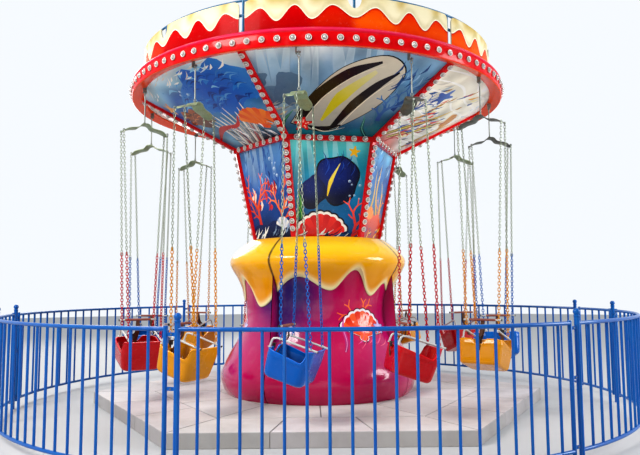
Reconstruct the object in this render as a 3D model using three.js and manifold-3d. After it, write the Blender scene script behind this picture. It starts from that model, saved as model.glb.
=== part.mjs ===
import * as THREE from 'three';
import { mergeVertices } from 'three/addons/utils/BufferGeometryUtils.js';
import Module from 'manifold-3d';

// Chair swing ride, in millimetres, +Z up, origin on the ground under the mast.
// Angles are in degrees round the mast, from the front (-Y) towards +X.

// Seat left between two pieces that rest on or are bolted to each other.
const SEAT_GAP = 0.3;

// Plinth
const PLINTH_RADIUS = 2876;
const PLINTH_HEIGHT = 146;
const PLINTH_TURN = -29.2;

// Base housing and its poured-cream collar
const BASE_SEGMENTS = 36;
const HOUSING_TOP = 1990;
const COLLAR_TOP = 2060;
const COLLAR_MOUTH = 851;
const COLLAR_CLEAR = 1.2;
const COLLAR_SKIN = 14;
const COLLAR_LOW = 1190;

// Six-sided waist and canopy
const SIDES = 6;
const SIDE_ANGLE = 360 / SIDES;
const RIB_TURN = -20;
const WAIST_FOOT_RADIUS = 812;
const WAIST_FOOT_Z = 2042;
const KNEE_RADIUS = 1061;
const KNEE_Z = 3240;
const PANEL_THICK = 20;
const CANOPY_EDGE_RADIUS = 2277;
const CANOPY_EDGE_Z = 3882.5;
const CANOPY_STEPS = 8;
const RIB_HALF = 36;
const WAIST_RIB_DEPTH = 24;
const CANOPY_RIB_DEPTH = 72;
const RIB_CLEAR = 0.8;
const KNEE_RAIL_RADIUS = 1106;
const KNEE_RAIL_FOOT = 3196;
const KNEE_RAIL_TOP = 3256;

// Light rim
const RIM_SEGMENTS = 48;
const RIM_FOOT_RADIUS = 2380;
const RIM_FOOT_Z = 3812;
const RIM_LIP_RADIUS = 2240;
const RIM_LIP_Z = 3851;
const RIM_BAND_RADIUS = 2384;
const RIM_BAND_TOP = 3952;
const RIM_LEDGE_Z = 4050;
const RIM_INNER_RADIUS = 2208;
const PANEL_POCKET = 5;

// Fascia boards
const BOARD_INNER = 2230;
const BOARD_THICK = 14;
const BOARD_TOP = 4388;
const BOARD_GAP_ANGLE = 1.7;
const BOARD_CORNER = 70;
const NOTCH_HALF = 76;
const NOTCH_DEPTH = 125;

// Mast, turntable and roof frame
const MAST_RADIUS = 110;
const MAST_TOP = 4210;
const MAST_CAP_RADIUS = 150;
const MAST_CAP_HEIGHT = 40;
const BEARING_RADIUS = 190;
const SLEEVE_RADIUS = 116;
const SLEEVE_WALL = 60;
const SLEEVE_HEIGHT = 120;
const HUB_RADIUS = 178;
const HUB_FOOT = 3900;
const HUB_TOP = 4140;
const TURNTABLE_Z = 2000;
const TURNTABLE_THICK = 40;
const TURNTABLE_RADIUS = 800;
const ARM_COUNT = 12;
const ARM_RADIUS = 25;
const ARM_Z = 4078;
const HOOP_RADIUS = 2207;
const HOOP_PIPE = 17;
const HOOP_LEVELS = [4250, 4408];
const HOOP_STEPS = 24;

// Chairs
const CHAIR_COUNT = 12;
const CHAIR_TURN = -4.5;
// How far each chair has turned on its rod.
const CHAIR_TWISTS = [-13, -17.5, 0, 6, -8, 4, 0, -5, 9, -4, 5, 9];
const PIN_RADIAL = 2262;
const PIN_Z = 3790;
const PIN_SIZE = 9;
const EYE_INNER = 12;
const EYE_OUTER = 21;
const EYE_DROP = 1.7;
const EYE_WIDTH = 14;
const EAR_THICK = 12;
const EAR_WIDE = 44;
const EAR_REACH = 34;
const ROD_SIZE = 8;
// Upper line of the bent spreader, from its middle outwards: [aside, z].
const SPREADER_LINE = [[40, -402], [76, -452], [190, -470], [272, -516]];
const SPREADER_WIDTH = 150;
const SPREADER_THICK = 10;
const CHAIN_RADIAL = 256;
const CHAIN_TOP_Z = -512;
const CHAIN_TOP_HALF = 62;
const CHAIN_SIZE = 6;
const LAP_BAR_Z = -2696;
const LAP_BAR_SIZE = 13;

// Bucket seats: heights are measured from the line of their two rails.
const SEAT_TILT = 18;
const RAIL_LINE_Z = -2855;
const TUBE_HALF = 11.5;
const TUBE_OUT = 180;
const TUBE_REAR = 250;
const TUBE_BEND = -165;
const CHAIN_FRONT = -135;
const CHAIN_REAR = 180;
const SEAT_HALF_WIDE = 245;
const SEAT_HALF_DEEP = 220;
const SEAT_CORNER = 50;
const SEAT_DEPTH = 372;
const SEAT_WALL = 14;
const FLOOR_DEPTH = 290;
const FRONT_WALL_DEPTH = 105;
const SIDE_WALL_DEPTH = 142;
const BACK_WALL_START = 148;
const BACK_WALL_TOP = 186;
const DIP_DEPTH = 62;
const DIP_HALF_TOP = 78;
const DIP_HALF_FOOT = 46;

// Ring fence
const FENCE_RADIUS = 3756;
const RAIL_TOP_Z = 1145;
const RAIL_FOOT_Z = 110;
const RAIL_SIZE = 26;
const PICKET_SIZE = 14;
const PICKET_PITCH = 2.52;
const POST_SIZE = 23;
const POST_TOP = 1215;
const FINIAL_SIZE = 31;
const STILE_OFFSET = 1.55;
const GATE_LIP = 0.55;
const BRACKET_SIZE = 26;
const HINGE_OFFSET = 52;
const HINGE_LEVELS = [300, 900];

const wasm = await Module();
wasm.setup();

const paints = {
  stone: new THREE.MeshStandardMaterial({ color: 0xd6d0cb, roughness: 0.8 }),
  crimson: new THREE.MeshStandardMaterial({ color: 0xb5124f, roughness: 0.2 }),
  cream_gold: new THREE.MeshStandardMaterial({ color: 0xe9a800, roughness: 0.2 }),
  red: new THREE.MeshStandardMaterial({ color: 0xc8101c, roughness: 0.3 }),
  sea_blue: new THREE.MeshStandardMaterial({ color: 0x2f7fb8, roughness: 0.4 }),
  orange: new THREE.MeshStandardMaterial({ color: 0xe8481a, roughness: 0.3 }),
  steel: new THREE.MeshStandardMaterial({ color: 0x9aa39a, roughness: 0.4, metalness: 0.6 }),
  fence_blue: new THREE.MeshStandardMaterial({ color: 0x0a3f9c, roughness: 0.4 }),
  seat_blue: new THREE.MeshStandardMaterial({ color: 0x0b5fc4, roughness: 0.3 }),
  seat_red: new THREE.MeshStandardMaterial({ color: 0xd00a1c, roughness: 0.3 }),
  seat_yellow: new THREE.MeshStandardMaterial({ color: 0xe0900c, roughness: 0.3 }),
};

const rad = (degrees) => THREE.MathUtils.degToRad(degrees);

// A point at an angle round the mast.
function around(angle, radius, z) {
  return new THREE.Vector3(radius * Math.sin(rad(angle)), -radius * Math.cos(rad(angle)), z);
}

// A solid from a closed geometry.
function solid(geometry) {
  const plain = geometry.clone();
  plain.deleteAttribute('normal');
  plain.deleteAttribute('uv');
  const merged = mergeVertices(plain, 1e-3);
  const index = merged.index.array;
  const faces = [];
  for (let i = 0; i < index.length; i += 3) {
    const [a, b, c] = [index[i], index[i + 1], index[i + 2]];
    if (a !== b && b !== c && c !== a) faces.push(a, b, c);
  }
  return new wasm.Manifold(new wasm.Mesh({
    numProp: 3,
    vertProperties: new Float32Array(merged.attributes.position.array),
    triVerts: new Uint32Array(faces),
  }));
}

// Join a list of solids that overlap.
function join(solids) {
  return solids.reduce((whole, next) => whole.add(next));
}

function mesh(name, body, material) {
  const made = body.getMesh();
  const geometry = new THREE.BufferGeometry();
  geometry.setAttribute('position', new THREE.BufferAttribute(new Float32Array(made.vertProperties), 3));
  geometry.setIndex(new THREE.BufferAttribute(new Uint32Array(made.triVerts), 1));
  geometry.computeVertexNormals();
  const piece = new THREE.Mesh(geometry, material);
  piece.name = name;
  return piece;
}

// A body turned round the mast from a profile of [radius, z], listed anticlockwise.
function turned(profile, segments, startAngle = 0) {
  const points = profile.map(([radius, z]) => new THREE.Vector2(radius, z));
  if (profile[0][0] > 0) points.push(points[0].clone());
  const geometry = new THREE.LatheGeometry(points, segments, rad(startAngle));
  geometry.rotateX(Math.PI / 2);
  return solid(geometry);
}

// A body through a row of sections that have the same number of points, or a closed ring of them.
function loft(sections, ring = false) {
  const count = sections[0].length;
  const positions = sections.flat().flatMap((point) => [point.x, point.y, point.z]);
  const faces = [];
  const rows = ring ? sections.length : sections.length - 1;
  for (let row = 0; row < rows; row += 1) {
    for (let i = 0; i < count; i += 1) {
      const next = (i + 1) % count;
      const low = row * count;
      const high = ((row + 1) % sections.length) * count;
      faces.push(low + i, low + next, high + i, low + next, high + next, high + i);
    }
  }
  const last = (sections.length - 1) * count;
  for (let i = 1; i < count - 1 && !ring; i += 1) {
    faces.push(0, i + 1, i, last, last + i, last + i + 1);
  }
  const geometry = new THREE.BufferGeometry();
  geometry.setAttribute('position', new THREE.Float32BufferAttribute(positions, 3));
  geometry.setIndex(faces);
  const body = solid(geometry);
  if (body.volume() > 0) return body;
  geometry.setIndex(faces.toReversed());
  return solid(geometry);
}

// A straight round bar between two points.
function bar(from, to, radius, sides = 4) {
  const along = new THREE.Vector3().subVectors(to, from);
  const geometry = new THREE.CylinderGeometry(radius, radius, along.length(), sides);
  geometry.applyQuaternion(
    new THREE.Quaternion().setFromUnitVectors(new THREE.Vector3(0, 1, 0), along.normalize()));
  const middle = new THREE.Vector3().addVectors(from, to).multiplyScalar(0.5);
  geometry.translate(middle.x, middle.y, middle.z);
  return solid(geometry);
}

function box(width, depth, height, x, y, z) {
  const geometry = new THREE.BoxGeometry(width, depth, height);
  geometry.translate(x, y, z);
  return solid(geometry);
}

// A level arc round the mast.
class LevelArc extends THREE.Curve {
  constructor(radius, z, from, to) {
    super();
    this.radius = radius;
    this.z = z;
    this.from = from;
    this.to = to;
  }

  getPoint(t) {
    return around(this.from + (this.to - this.from) * t, this.radius, this.z);
  }
}

// A round pipe bent to a level arc.
function arcPipe(radius, z, from, to, pipe, steps, sides = 4) {
  const section = new THREE.Shape();
  for (let i = 0; i < sides; i += 1) {
    const angle = ((i + 0.5) / sides) * 2 * Math.PI;
    section[i ? 'lineTo' : 'moveTo'](pipe * Math.cos(angle), pipe * Math.sin(angle));
  }
  const path = new LevelArc(radius, z, from, to);
  return solid(new THREE.ExtrudeGeometry(section, { steps, extrudePath: path, bevelEnabled: false }));
}

// The housing's outer profile from its foot up.
const HOUSING_PROFILE = [
  [1160, PLINTH_HEIGHT + SEAT_GAP],
  [1208, 215],
  [1238, 335],
  [1215, 470],
  [1120, 660],
  [1015, 840],
  [950, 1010],
  [930, 1150],
  [938, 1300],
  [968, 1450],
  [1010, 1580],
  [1044, 1690],
  [834, HOUSING_TOP],
];

function housingRadius(z) {
  const above = HOUSING_PROFILE.findIndex(([, level]) => level >= z);
  const [r0, z0] = HOUSING_PROFILE[above - 1];
  const [r1, z1] = HOUSING_PROFILE[above];
  return r0 + ((r1 - r0) * (z - z0)) / (z1 - z0);
}

function plinth() {
  const corners = [[0, 0], [PLINTH_RADIUS, 0], [PLINTH_RADIUS, PLINTH_HEIGHT], [0, PLINTH_HEIGHT]];
  return mesh('plinth', turned(corners, SIDES, PLINTH_TURN), paints.stone);
}

function baseHousing() {
  const foot = HOUSING_PROFILE[0][1];
  const profile = [[0, foot], ...HOUSING_PROFILE, [0, HOUSING_TOP]];
  return mesh('base_housing', turned(profile, BASE_SEGMENTS), paints.crimson);
}

// Lower edge of the collar: drips and the arches between them, as [angle, z].
const DRIPS = [
  [-77, 1290], [-62, 1560], [-47, 1225], [-12.6, 1580], [8.7, 1420], [25, 1655], [40.8, 1353],
  [54, 1500], [62, 1390], [80, 1640], [102, 1260], [124, 1600], [146, 1380], [166, 1650],
  [188, 1250], [212, 1590], [232, 1400], [256, 1620],
];

function dripEdge(angle) {
  const turn = ((angle - DRIPS[0][0]) % 360 + 360) % 360 + DRIPS[0][0];
  const loop = [...DRIPS, [DRIPS[0][0] + 360, DRIPS[0][1]]];
  const next = loop.findIndex(([at]) => at > turn);
  const [a0, z0] = loop[next - 1];
  const [a1, z1] = loop[next];
  const ease = (1 - Math.cos((Math.PI * (turn - a0)) / (a1 - a0))) / 2;
  return z0 + (z1 - z0) * ease;
}

function dripCollar() {
  const low = COLLAR_LOW;
  const backs = [low, 1300, 1450, 1690].map((z) => [housingRadius(z) + COLLAR_CLEAR, z]);
  const fronts = [low, 1450].map((z) => [housingRadius(z) + COLLAR_SKIN, z]);
  const bulge = [
    [1040, 1580], [1108, 1690], [1138, 1765], [1118, 1840], [1010, 1955], [872, COLLAR_TOP],
  ];
  const mouth = [[COLLAR_MOUTH, COLLAR_TOP - 4], [COLLAR_MOUTH, HOUSING_TOP]];
  const blank = turned([...fronts, ...bulge, ...mouth, ...backs.toReversed()], BASE_SEGMENTS);
  const steps = 72;
  const sections = [];
  for (let i = 0; i < steps; i += 1) {
    const angle = (360 * i) / steps;
    const edge = dripEdge(angle);
    sections.push([
      around(angle, 700, low - 50), around(angle, 1300, low - 50),
      around(angle, 1300, edge), around(angle, 700, edge),
    ]);
  }
  return mesh('drip_collar', blank.subtract(loft(sections, true)), paints.cream_gold);
}

function mast() {
  const foot = HOUSING_TOP + SEAT_GAP;
  const seat = TURNTABLE_Z - SEAT_GAP;
  const cap = MAST_TOP - MAST_CAP_HEIGHT;
  const profile = [
    [0, foot], [BEARING_RADIUS, foot], [BEARING_RADIUS, seat], [MAST_RADIUS, seat],
    [MAST_RADIUS, cap], [MAST_CAP_RADIUS, cap], [MAST_CAP_RADIUS, cap + 25], [70, MAST_TOP], [0, MAST_TOP],
  ];
  return mesh('centre_mast', turned(profile, 16), paints.steel);
}

function turntable() {
  const top = TURNTABLE_Z + TURNTABLE_THICK;
  const profile = [
    [SLEEVE_RADIUS, TURNTABLE_Z], [TURNTABLE_RADIUS, TURNTABLE_Z], [TURNTABLE_RADIUS, top],
    [SLEEVE_RADIUS + SLEEVE_WALL, top], [SLEEVE_RADIUS + SLEEVE_WALL, top + SLEEVE_HEIGHT],
    [SLEEVE_RADIUS, top + SLEEVE_HEIGHT],
  ];
  return mesh('turntable', turned(profile, 24), paints.steel);
}

// Point on the outer corner line of the waist or canopy, at a height.
function waistRadius(z) {
  const share = (z - WAIST_FOOT_Z) / (KNEE_Z - WAIST_FOOT_Z);
  return WAIST_FOOT_RADIUS + (KNEE_RADIUS - WAIST_FOOT_RADIUS) * share;
}

function canopyRadius(z) {
  const share = (z - KNEE_Z) / (CANOPY_EDGE_Z - KNEE_Z);
  return KNEE_RADIUS + (CANOPY_EDGE_RADIUS - KNEE_RADIUS) * share;
}

// Four corners of a flat plate's level section between two hexagon corners.
function waistSection(from, to, radius, z) {
  const trim = 0.4;
  const inner = radius - PANEL_THICK;
  const corner = (angle, reach, side) => {
    const tangent = around(angle + 90, side * trim, 0);
    return around(angle, reach, z).add(tangent);
  };
  return [corner(from, radius, 1), corner(to, radius, -1), corner(to, inner, -1), corner(from, inner, 1)];
}

function waistPanels() {
  const panels = [];
  for (let side = 0; side < SIDES; side += 1) {
    const from = RIB_TURN + side * SIDE_ANGLE;
    const to = from + SIDE_ANGLE;
    const foot = WAIST_FOOT_Z + SEAT_GAP;
    const top = KNEE_Z - 0.5;
    const body = loft([
      waistSection(from, to, waistRadius(foot), foot),
      waistSection(from, to, waistRadius(top), top),
    ]);
    panels.push(mesh(`waist_panel_${side + 1}`, body, paints.sea_blue));
  }
  return panels;
}

// A canopy panel is straight at the knee and curved at the rim.
function canopyBodies() {
  const panels = [];
  const trim = 0.02;
  for (let side = 0; side < SIDES; side += 1) {
    const from = RIB_TURN + side * SIDE_ANGLE;
    const knee = [from, from + SIDE_ANGLE].map((angle) => around(angle, KNEE_RADIUS, KNEE_Z + SEAT_GAP));
    const sections = [];
    for (let i = 0; i <= CANOPY_STEPS; i += 1) {
      const ends = i === 0 ? trim : i === CANOPY_STEPS ? -trim : 0;
      const share = i / CANOPY_STEPS;
      const low = new THREE.Vector3().lerpVectors(knee[0], knee[1], share + (ends * 2) / SIDE_ANGLE);
      const high = around(from + SIDE_ANGLE * share + ends, CANOPY_EDGE_RADIUS, CANOPY_EDGE_Z);
      const lift = new THREE.Vector3(0, 0, PANEL_THICK);
      sections.push([low, high, high.clone().add(lift), low.clone().add(lift)]);
    }
    panels.push(loft(sections));
  }
  return panels;
}

function canopyPanels() {
  return canopyBodies().map((body, side) => mesh(`canopy_panel_${side + 1}`, body, paints.sea_blue));
}

// Level section of a corner rib: its back follows the two panels it covers.
function ribSection(angle, radius, z, depth, backSlope) {
  const back = RIB_CLEAR;
  const wing = RIB_HALF * backSlope;
  const points = [[back, 0], [back - wing, RIB_HALF], [depth - 6, RIB_HALF], [depth, RIB_HALF - 10],
    [depth, 10 - RIB_HALF], [depth - 6, -RIB_HALF], [back - wing, -RIB_HALF]];
  return points.map(([out, aside]) =>
    around(angle, radius + out, z).add(around(angle + 90, aside, 0)));
}

// All that lies outside and above the rim's sloping underside.
function roomForRim() {
  const far = RIM_BAND_RADIUS + 100;
  return turned([
    [RIM_LIP_RADIUS - SEAT_GAP, RIM_LIP_Z - SEAT_GAP], [RIM_FOOT_RADIUS, RIM_FOOT_Z - SEAT_GAP],
    [far, RIM_FOOT_Z - SEAT_GAP], [far, RIM_LEDGE_Z], [RIM_LIP_RADIUS - SEAT_GAP, RIM_LEDGE_Z],
  ], RIM_SEGMENTS, RIB_TURN);
}

// Light ribs: six up the waist, a six-sided knee rail and six out to the rim.
function ribFrame() {
  const flat = Math.tan(rad(SIDE_ANGLE / 2));
  const parts = [];
  const rail = [
    [waistRadius(KNEE_RAIL_FOOT) + RIB_CLEAR, KNEE_RAIL_FOOT], [KNEE_RAIL_RADIUS, KNEE_RAIL_FOOT],
    [KNEE_RAIL_RADIUS, KNEE_RAIL_TOP], [KNEE_RADIUS + RIB_CLEAR, KNEE_Z - 0.5],
  ];
  parts.push(turned(rail, SIDES, RIB_TURN));
  for (let corner = 0; corner < SIDES; corner += 1) {
    const angle = RIB_TURN + corner * SIDE_ANGLE;
    const foot = TURNTABLE_Z + TURNTABLE_THICK + SEAT_GAP;
    parts.push(loft([
      ribSection(angle, waistRadius(foot), foot, WAIST_RIB_DEPTH, flat),
      ribSection(angle, waistRadius(KNEE_Z - 1), KNEE_Z - 1, WAIST_RIB_DEPTH, flat),
    ]));
    const top = RIM_LIP_Z + PANEL_THICK;
    parts.push(loft([
      ribSection(angle, canopyRadius(KNEE_Z) + 1, KNEE_Z, CANOPY_RIB_DEPTH, flat),
      ribSection(angle, canopyRadius(top) + 1, top, CANOPY_RIB_DEPTH, 0.05),
    ]));
  }
  const fitted = join(parts).subtract(join(canopyBodies()).translate([0, 0, -RIB_CLEAR]));
  return mesh('light_rib_frame', fitted.subtract(roomForRim()), paints.red);
}

// A round peg under the rim for each chair's eye, on an ear that reaches up into the rim's lip.
function pegBracket(angle) {
  const offset = EAR_REACH - EAR_THICK / 2;
  const foot = PIN_Z - 16;
  const top = RIM_LIP_Z + 5;
  const turn = (body) => body.rotate([0, 0, angle]);
  const peg = bar(new THREE.Vector3(-offset, -PIN_RADIAL, PIN_Z),
    new THREE.Vector3(EYE_WIDTH, -PIN_RADIAL, PIN_Z), PIN_SIZE, 8);
  const ear = box(EAR_THICK, EAR_WIDE, top - foot, -offset, -PIN_RADIAL, (top + foot) / 2);
  return [turn(peg), turn(ear)];
}

function lightRim() {
  const pocket = CANOPY_EDGE_RADIUS + PANEL_POCKET;
  const underPanel = (radius) => CANOPY_EDGE_Z - 0.5
    - ((CANOPY_EDGE_RADIUS - radius) * (CANOPY_EDGE_Z - KNEE_Z)) / (CANOPY_EDGE_RADIUS - KNEE_RADIUS);
  const section = [
    [RIM_LIP_RADIUS, RIM_LIP_Z], [RIM_FOOT_RADIUS, RIM_FOOT_Z], [RIM_BAND_RADIUS, RIM_BAND_TOP],
    [2290, 4030], [2262, RIM_LEDGE_Z], [RIM_INNER_RADIUS, RIM_LEDGE_Z], [RIM_INNER_RADIUS, 3935],
    [pocket, CANOPY_EDGE_Z + PANEL_THICK + 10], [pocket, underPanel(pocket)],
    [RIM_LIP_RADIUS, underPanel(RIM_LIP_RADIUS)],
  ];
  const parts = [turned(section, RIM_SEGMENTS, RIB_TURN)];
  for (let i = 0; i < CHAIR_COUNT; i += 1) {
    parts.push(...pegBracket(CHAIR_TURN + (360 * i) / CHAIR_COUNT));
  }
  return mesh('light_rim', join(parts), paints.red);
}

// Height of a fascia board at a distance along it from its middle.
function boardTop(along, half) {
  const fromEnd = half - Math.abs(along);
  if (fromEnd < BOARD_CORNER) {
    const drop = BOARD_CORNER - fromEnd;
    return BOARD_TOP - BOARD_CORNER + Math.sqrt(BOARD_CORNER ** 2 - drop ** 2);
  }
  if (Math.abs(along) < NOTCH_HALF) {
    return BOARD_TOP - NOTCH_DEPTH * Math.sqrt(1 - (along / NOTCH_HALF) ** 2);
  }
  return BOARD_TOP;
}

function fasciaBoards() {
  const boards = [];
  const half = rad(SIDE_ANGLE - BOARD_GAP_ANGLE) * 0.5 * BOARD_INNER;
  const corner = [0, 0.15, 0.5, 1].map((share) => half - share * BOARD_CORNER);
  const plain = [800, 530, 260];
  const notch = [1, 0.96, 0.8, 0.45, 0].map((share) => share * NOTCH_HALF);
  const right = [...corner, ...plain, ...notch];
  const stations = [...right.map((along) => -along), ...right.toReversed().slice(1)];
  for (let side = 0; side < SIDES; side += 1) {
    const middle = RIB_TURN + (side + 0.5) * SIDE_ANGLE;
    const sections = stations.map((along) => {
      const angle = middle + THREE.MathUtils.radToDeg(along / BOARD_INNER);
      const top = boardTop(along, half);
      const foot = RIM_LEDGE_Z + SEAT_GAP;
      return [
        around(angle, BOARD_INNER, foot), around(angle, BOARD_INNER + BOARD_THICK, foot),
        around(angle, BOARD_INNER + BOARD_THICK, top), around(angle, BOARD_INNER, top),
      ];
    });
    boards.push(mesh(`fascia_board_${side + 1}`, loft(sections), paints.orange));
  }
  return boards;
}

// Pipe roof frame: hub sleeve, arms, uprights and two hoops behind the boards.
function roofFrame() {
  const hub = [
    [SLEEVE_RADIUS, HUB_FOOT], [HUB_RADIUS, HUB_FOOT], [HUB_RADIUS, HUB_TOP], [SLEEVE_RADIUS, HUB_TOP],
  ];
  const parts = [turned(hub, 16)];
  for (const level of HOOP_LEVELS) {
    const section = [];
    for (let i = 0; i < 4; i += 1) {
      const turn = ((i + 0.5) / 4) * 2 * Math.PI;
      section.push([HOOP_RADIUS + HOOP_PIPE * Math.cos(turn), level + HOOP_PIPE * Math.sin(turn)]);
    }
    parts.push(turned(section, HOOP_STEPS, RIB_TURN));
  }
  for (let i = 0; i < ARM_COUNT; i += 1) {
    const angle = RIB_TURN + (360 * i) / ARM_COUNT;
    parts.push(bar(around(angle, HUB_RADIUS - 20, ARM_Z), around(angle, HOOP_RADIUS, ARM_Z), ARM_RADIUS));
    parts.push(bar(around(angle, HOOP_RADIUS, RIM_LEDGE_Z + SEAT_GAP),
      around(angle, HOOP_RADIUS, HOOP_LEVELS[1]), HOOP_PIPE - 2));
  }
  return mesh('roof_frame', join(parts), paints.fence_blue);
}

// Chair parts are made at the pin: -X is the way the rider faces, -Y is outwards.

// A point in the tilted frame of the seat's rails: along, outwards and up from their line.
function seatPoint(along, outwards, up) {
  const tilt = rad(SEAT_TILT);
  return new THREE.Vector3(
    along * Math.cos(tilt) + up * Math.sin(tilt),
    -outwards,
    RAIL_LINE_Z - along * Math.sin(tilt) + up * Math.cos(tilt));
}

function spreader() {
  const top = [...SPREADER_LINE.map(([out, z]) => [-out, z]).toReversed(), ...SPREADER_LINE];
  const under = top.map(([out, z]) => [out, z - SPREADER_THICK]).toReversed();
  const shape = new THREE.Shape([...top, ...under].map(([out, z]) => new THREE.Vector2(out, z)));
  const geometry = new THREE.ExtrudeGeometry(shape, { depth: SPREADER_WIDTH, bevelEnabled: false });
  geometry.translate(0, 0, -SPREADER_WIDTH / 2);
  geometry.rotateX(Math.PI / 2);
  geometry.rotateZ(Math.PI / 2);
  return solid(geometry);
}

// The fixed eye over the peg.
function pegEye() {
  const eye = new THREE.LatheGeometry([
    new THREE.Vector2(EYE_INNER, -EYE_WIDTH / 2), new THREE.Vector2(EYE_OUTER, -EYE_WIDTH / 2),
    new THREE.Vector2(EYE_OUTER, EYE_WIDTH / 2), new THREE.Vector2(EYE_INNER, EYE_WIDTH / 2),
    new THREE.Vector2(EYE_INNER, -EYE_WIDTH / 2),
  ], 8, Math.PI / 8);
  eye.rotateZ(Math.PI / 2);
  eye.translate(0, 0, -EYE_DROP);
  return solid(eye);
}

// A square tube along a bent line of [along, up], at one side of the seat.
function seatTube(out, path) {
  const points = path.map(([along, up]) => new THREE.Vector2(along, up));
  const sections = points.map((here, i) => {
    const before = points[i - 1] ?? here.clone().multiplyScalar(2).sub(points[i + 1]);
    const after = points[i + 1] ?? here.clone().multiplyScalar(2).sub(points[i - 1]);
    const into = here.clone().sub(before).normalize();
    const mitre = after.clone().sub(here).normalize().add(into).normalize();
    const reach = TUBE_HALF / mitre.dot(into);
    return [[1, 1], [1, -1], [-1, -1], [-1, 1]].map(([side, top]) => seatPoint(
      here.x - top * mitre.y * reach, out + side * TUBE_HALF, here.y + top * mitre.x * reach));
  });
  return loft(sections);
}

// Rod, spreader, chains, the seat's two rails and the lap bar across the front chains.
function hangingParts() {
  const parts = [
    bar(new THREE.Vector3(0, 0, -EYE_INNER - 5), new THREE.Vector3(0, 0, SPREADER_LINE[0][1] - 6), ROD_SIZE),
    spreader(),
  ];
  const frontWall = SEAT_WALL / 2 - SEAT_HALF_DEEP;
  const railFoot = 1.7 - FRONT_WALL_DEPTH;
  for (const side of [-1, 1]) {
    parts.push(seatTube(side * TUBE_OUT,
      [[TUBE_REAR, 0], [TUBE_BEND, 0], [frontWall + 8, -24], [frontWall, railFoot]]));
    for (const [top, foot] of [[-CHAIN_TOP_HALF, CHAIN_FRONT], [CHAIN_TOP_HALF, CHAIN_REAR]]) {
      parts.push(bar(new THREE.Vector3(top, -side * CHAIN_RADIAL, CHAIN_TOP_Z),
        seatPoint(foot, side * TUBE_OUT, 0), CHAIN_SIZE));
    }
  }
  const foot = seatPoint(CHAIN_FRONT, TUBE_OUT, 0);
  const share = (LAP_BAR_Z - CHAIN_TOP_Z) / (foot.z - CHAIN_TOP_Z);
  const front = THREE.MathUtils.lerp(-CHAIN_TOP_HALF, foot.x, share);
  const reach = THREE.MathUtils.lerp(CHAIN_RADIAL, TUBE_OUT, share) + 30;
  parts.push(bar(new THREE.Vector3(front, -reach, LAP_BAR_Z), new THREE.Vector3(front, reach, LAP_BAR_Z),
    LAP_BAR_SIZE));
  return join(parts);
}

// An eight-cornered level section of the bucket, at a height from the rails' line.
function bucketSection(halfWide, halfDeep, cut, up) {
  const corners = [
    [halfDeep, cut - halfWide], [halfDeep, halfWide - cut], [halfDeep - cut, halfWide],
    [cut - halfDeep, halfWide], [-halfDeep, halfWide - cut], [-halfDeep, cut - halfWide],
    [cut - halfDeep, -halfWide], [halfDeep - cut, -halfWide],
  ];
  return corners.map(([along, outwards]) => seatPoint(along, outwards, up));
}

// Room over the low side and front walls, from the front to the tall back.
function lowWallCut() {
  const slope = (SIDE_WALL_DEPTH - FRONT_WALL_DEPTH) / (SEAT_HALF_DEEP + BACK_WALL_START);
  const past = SEAT_HALF_DEEP + 80;
  const outline = [[-past, slope * 80 - FRONT_WALL_DEPTH], [BACK_WALL_START, -SIDE_WALL_DEPTH],
    [BACK_WALL_TOP, 5], [-past, 5]];
  const reach = SEAT_HALF_WIDE + 20;
  return loft([-reach, reach].map((out) => outline.map(([along, up]) => seatPoint(along, out, up))));
}

// Dip for the strap in the middle of the front wall.
function frontDip() {
  const foot = -FRONT_WALL_DEPTH - DIP_DEPTH;
  const outline = [[-DIP_HALF_TOP, 5], [-DIP_HALF_FOOT, foot], [DIP_HALF_FOOT, foot], [DIP_HALF_TOP, 5]];
  return loft([-300, -100].map((along) => outline.map(([out, up]) => seatPoint(along, out, up))));
}

function bucket() {
  const wide = SEAT_HALF_WIDE;
  const deep = SEAT_HALF_DEEP;
  const top = -TUBE_HALF - SEAT_GAP;
  const outer = loft([
    bucketSection(wide - 44, deep - 40, 36, -SEAT_DEPTH),
    bucketSection(wide - 22, deep - 18, 44, 26 - SEAT_DEPTH),
    bucketSection(wide, deep, SEAT_CORNER, -150),
    bucketSection(wide, deep, SEAT_CORNER, top),
  ]);
  const inner = loft([
    bucketSection(wide - 52, deep - 50, 34, -FLOOR_DEPTH),
    bucketSection(wide - SEAT_WALL, deep - SEAT_WALL, SEAT_CORNER - 5, top + 1),
  ]);
  return outer.subtract(inner).subtract(lowWallCut()).subtract(frontDip());
}

function chairs() {
  const group = new THREE.Group();
  const eyeBody = pegEye();
  const hangingBody = hangingParts();
  const bucketBody = bucket();
  const colours = [paints.seat_blue, paints.seat_red, paints.seat_yellow];
  for (let i = 0; i < CHAIR_COUNT; i += 1) {
    const number = String(i + 1).padStart(2, '0');
    const angle = CHAIR_TURN + (360 * i) / CHAIR_COUNT;
    const chair = new THREE.Group();
    chair.position.copy(around(angle, PIN_RADIAL, PIN_Z));
    chair.rotation.z = rad(angle);
    const twist = [0, 0, CHAIR_TWISTS[i]];
    chair.add(mesh(`hanger_${number}`, eyeBody.add(hangingBody.rotate(twist)), paints.steel));
    chair.add(mesh(`seat_${number}`, bucketBody.rotate(twist), colours[i % colours.length]));
    group.add(chair);
  }
  return group;
}

function post(angle) {
  const shaft = bar(around(0, FENCE_RADIUS, 0), around(0, FENCE_RADIUS, POST_TOP), POST_SIZE, 8);
  const ball = new THREE.SphereGeometry(FINIAL_SIZE, 8, 5);
  ball.rotateX(Math.PI / 2);
  ball.translate(0, -FENCE_RADIUS, POST_TOP + FINIAL_SIZE - 8);
  return [shaft, solid(ball)].map((body) => body.rotate([0, 0, angle]));
}

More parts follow.
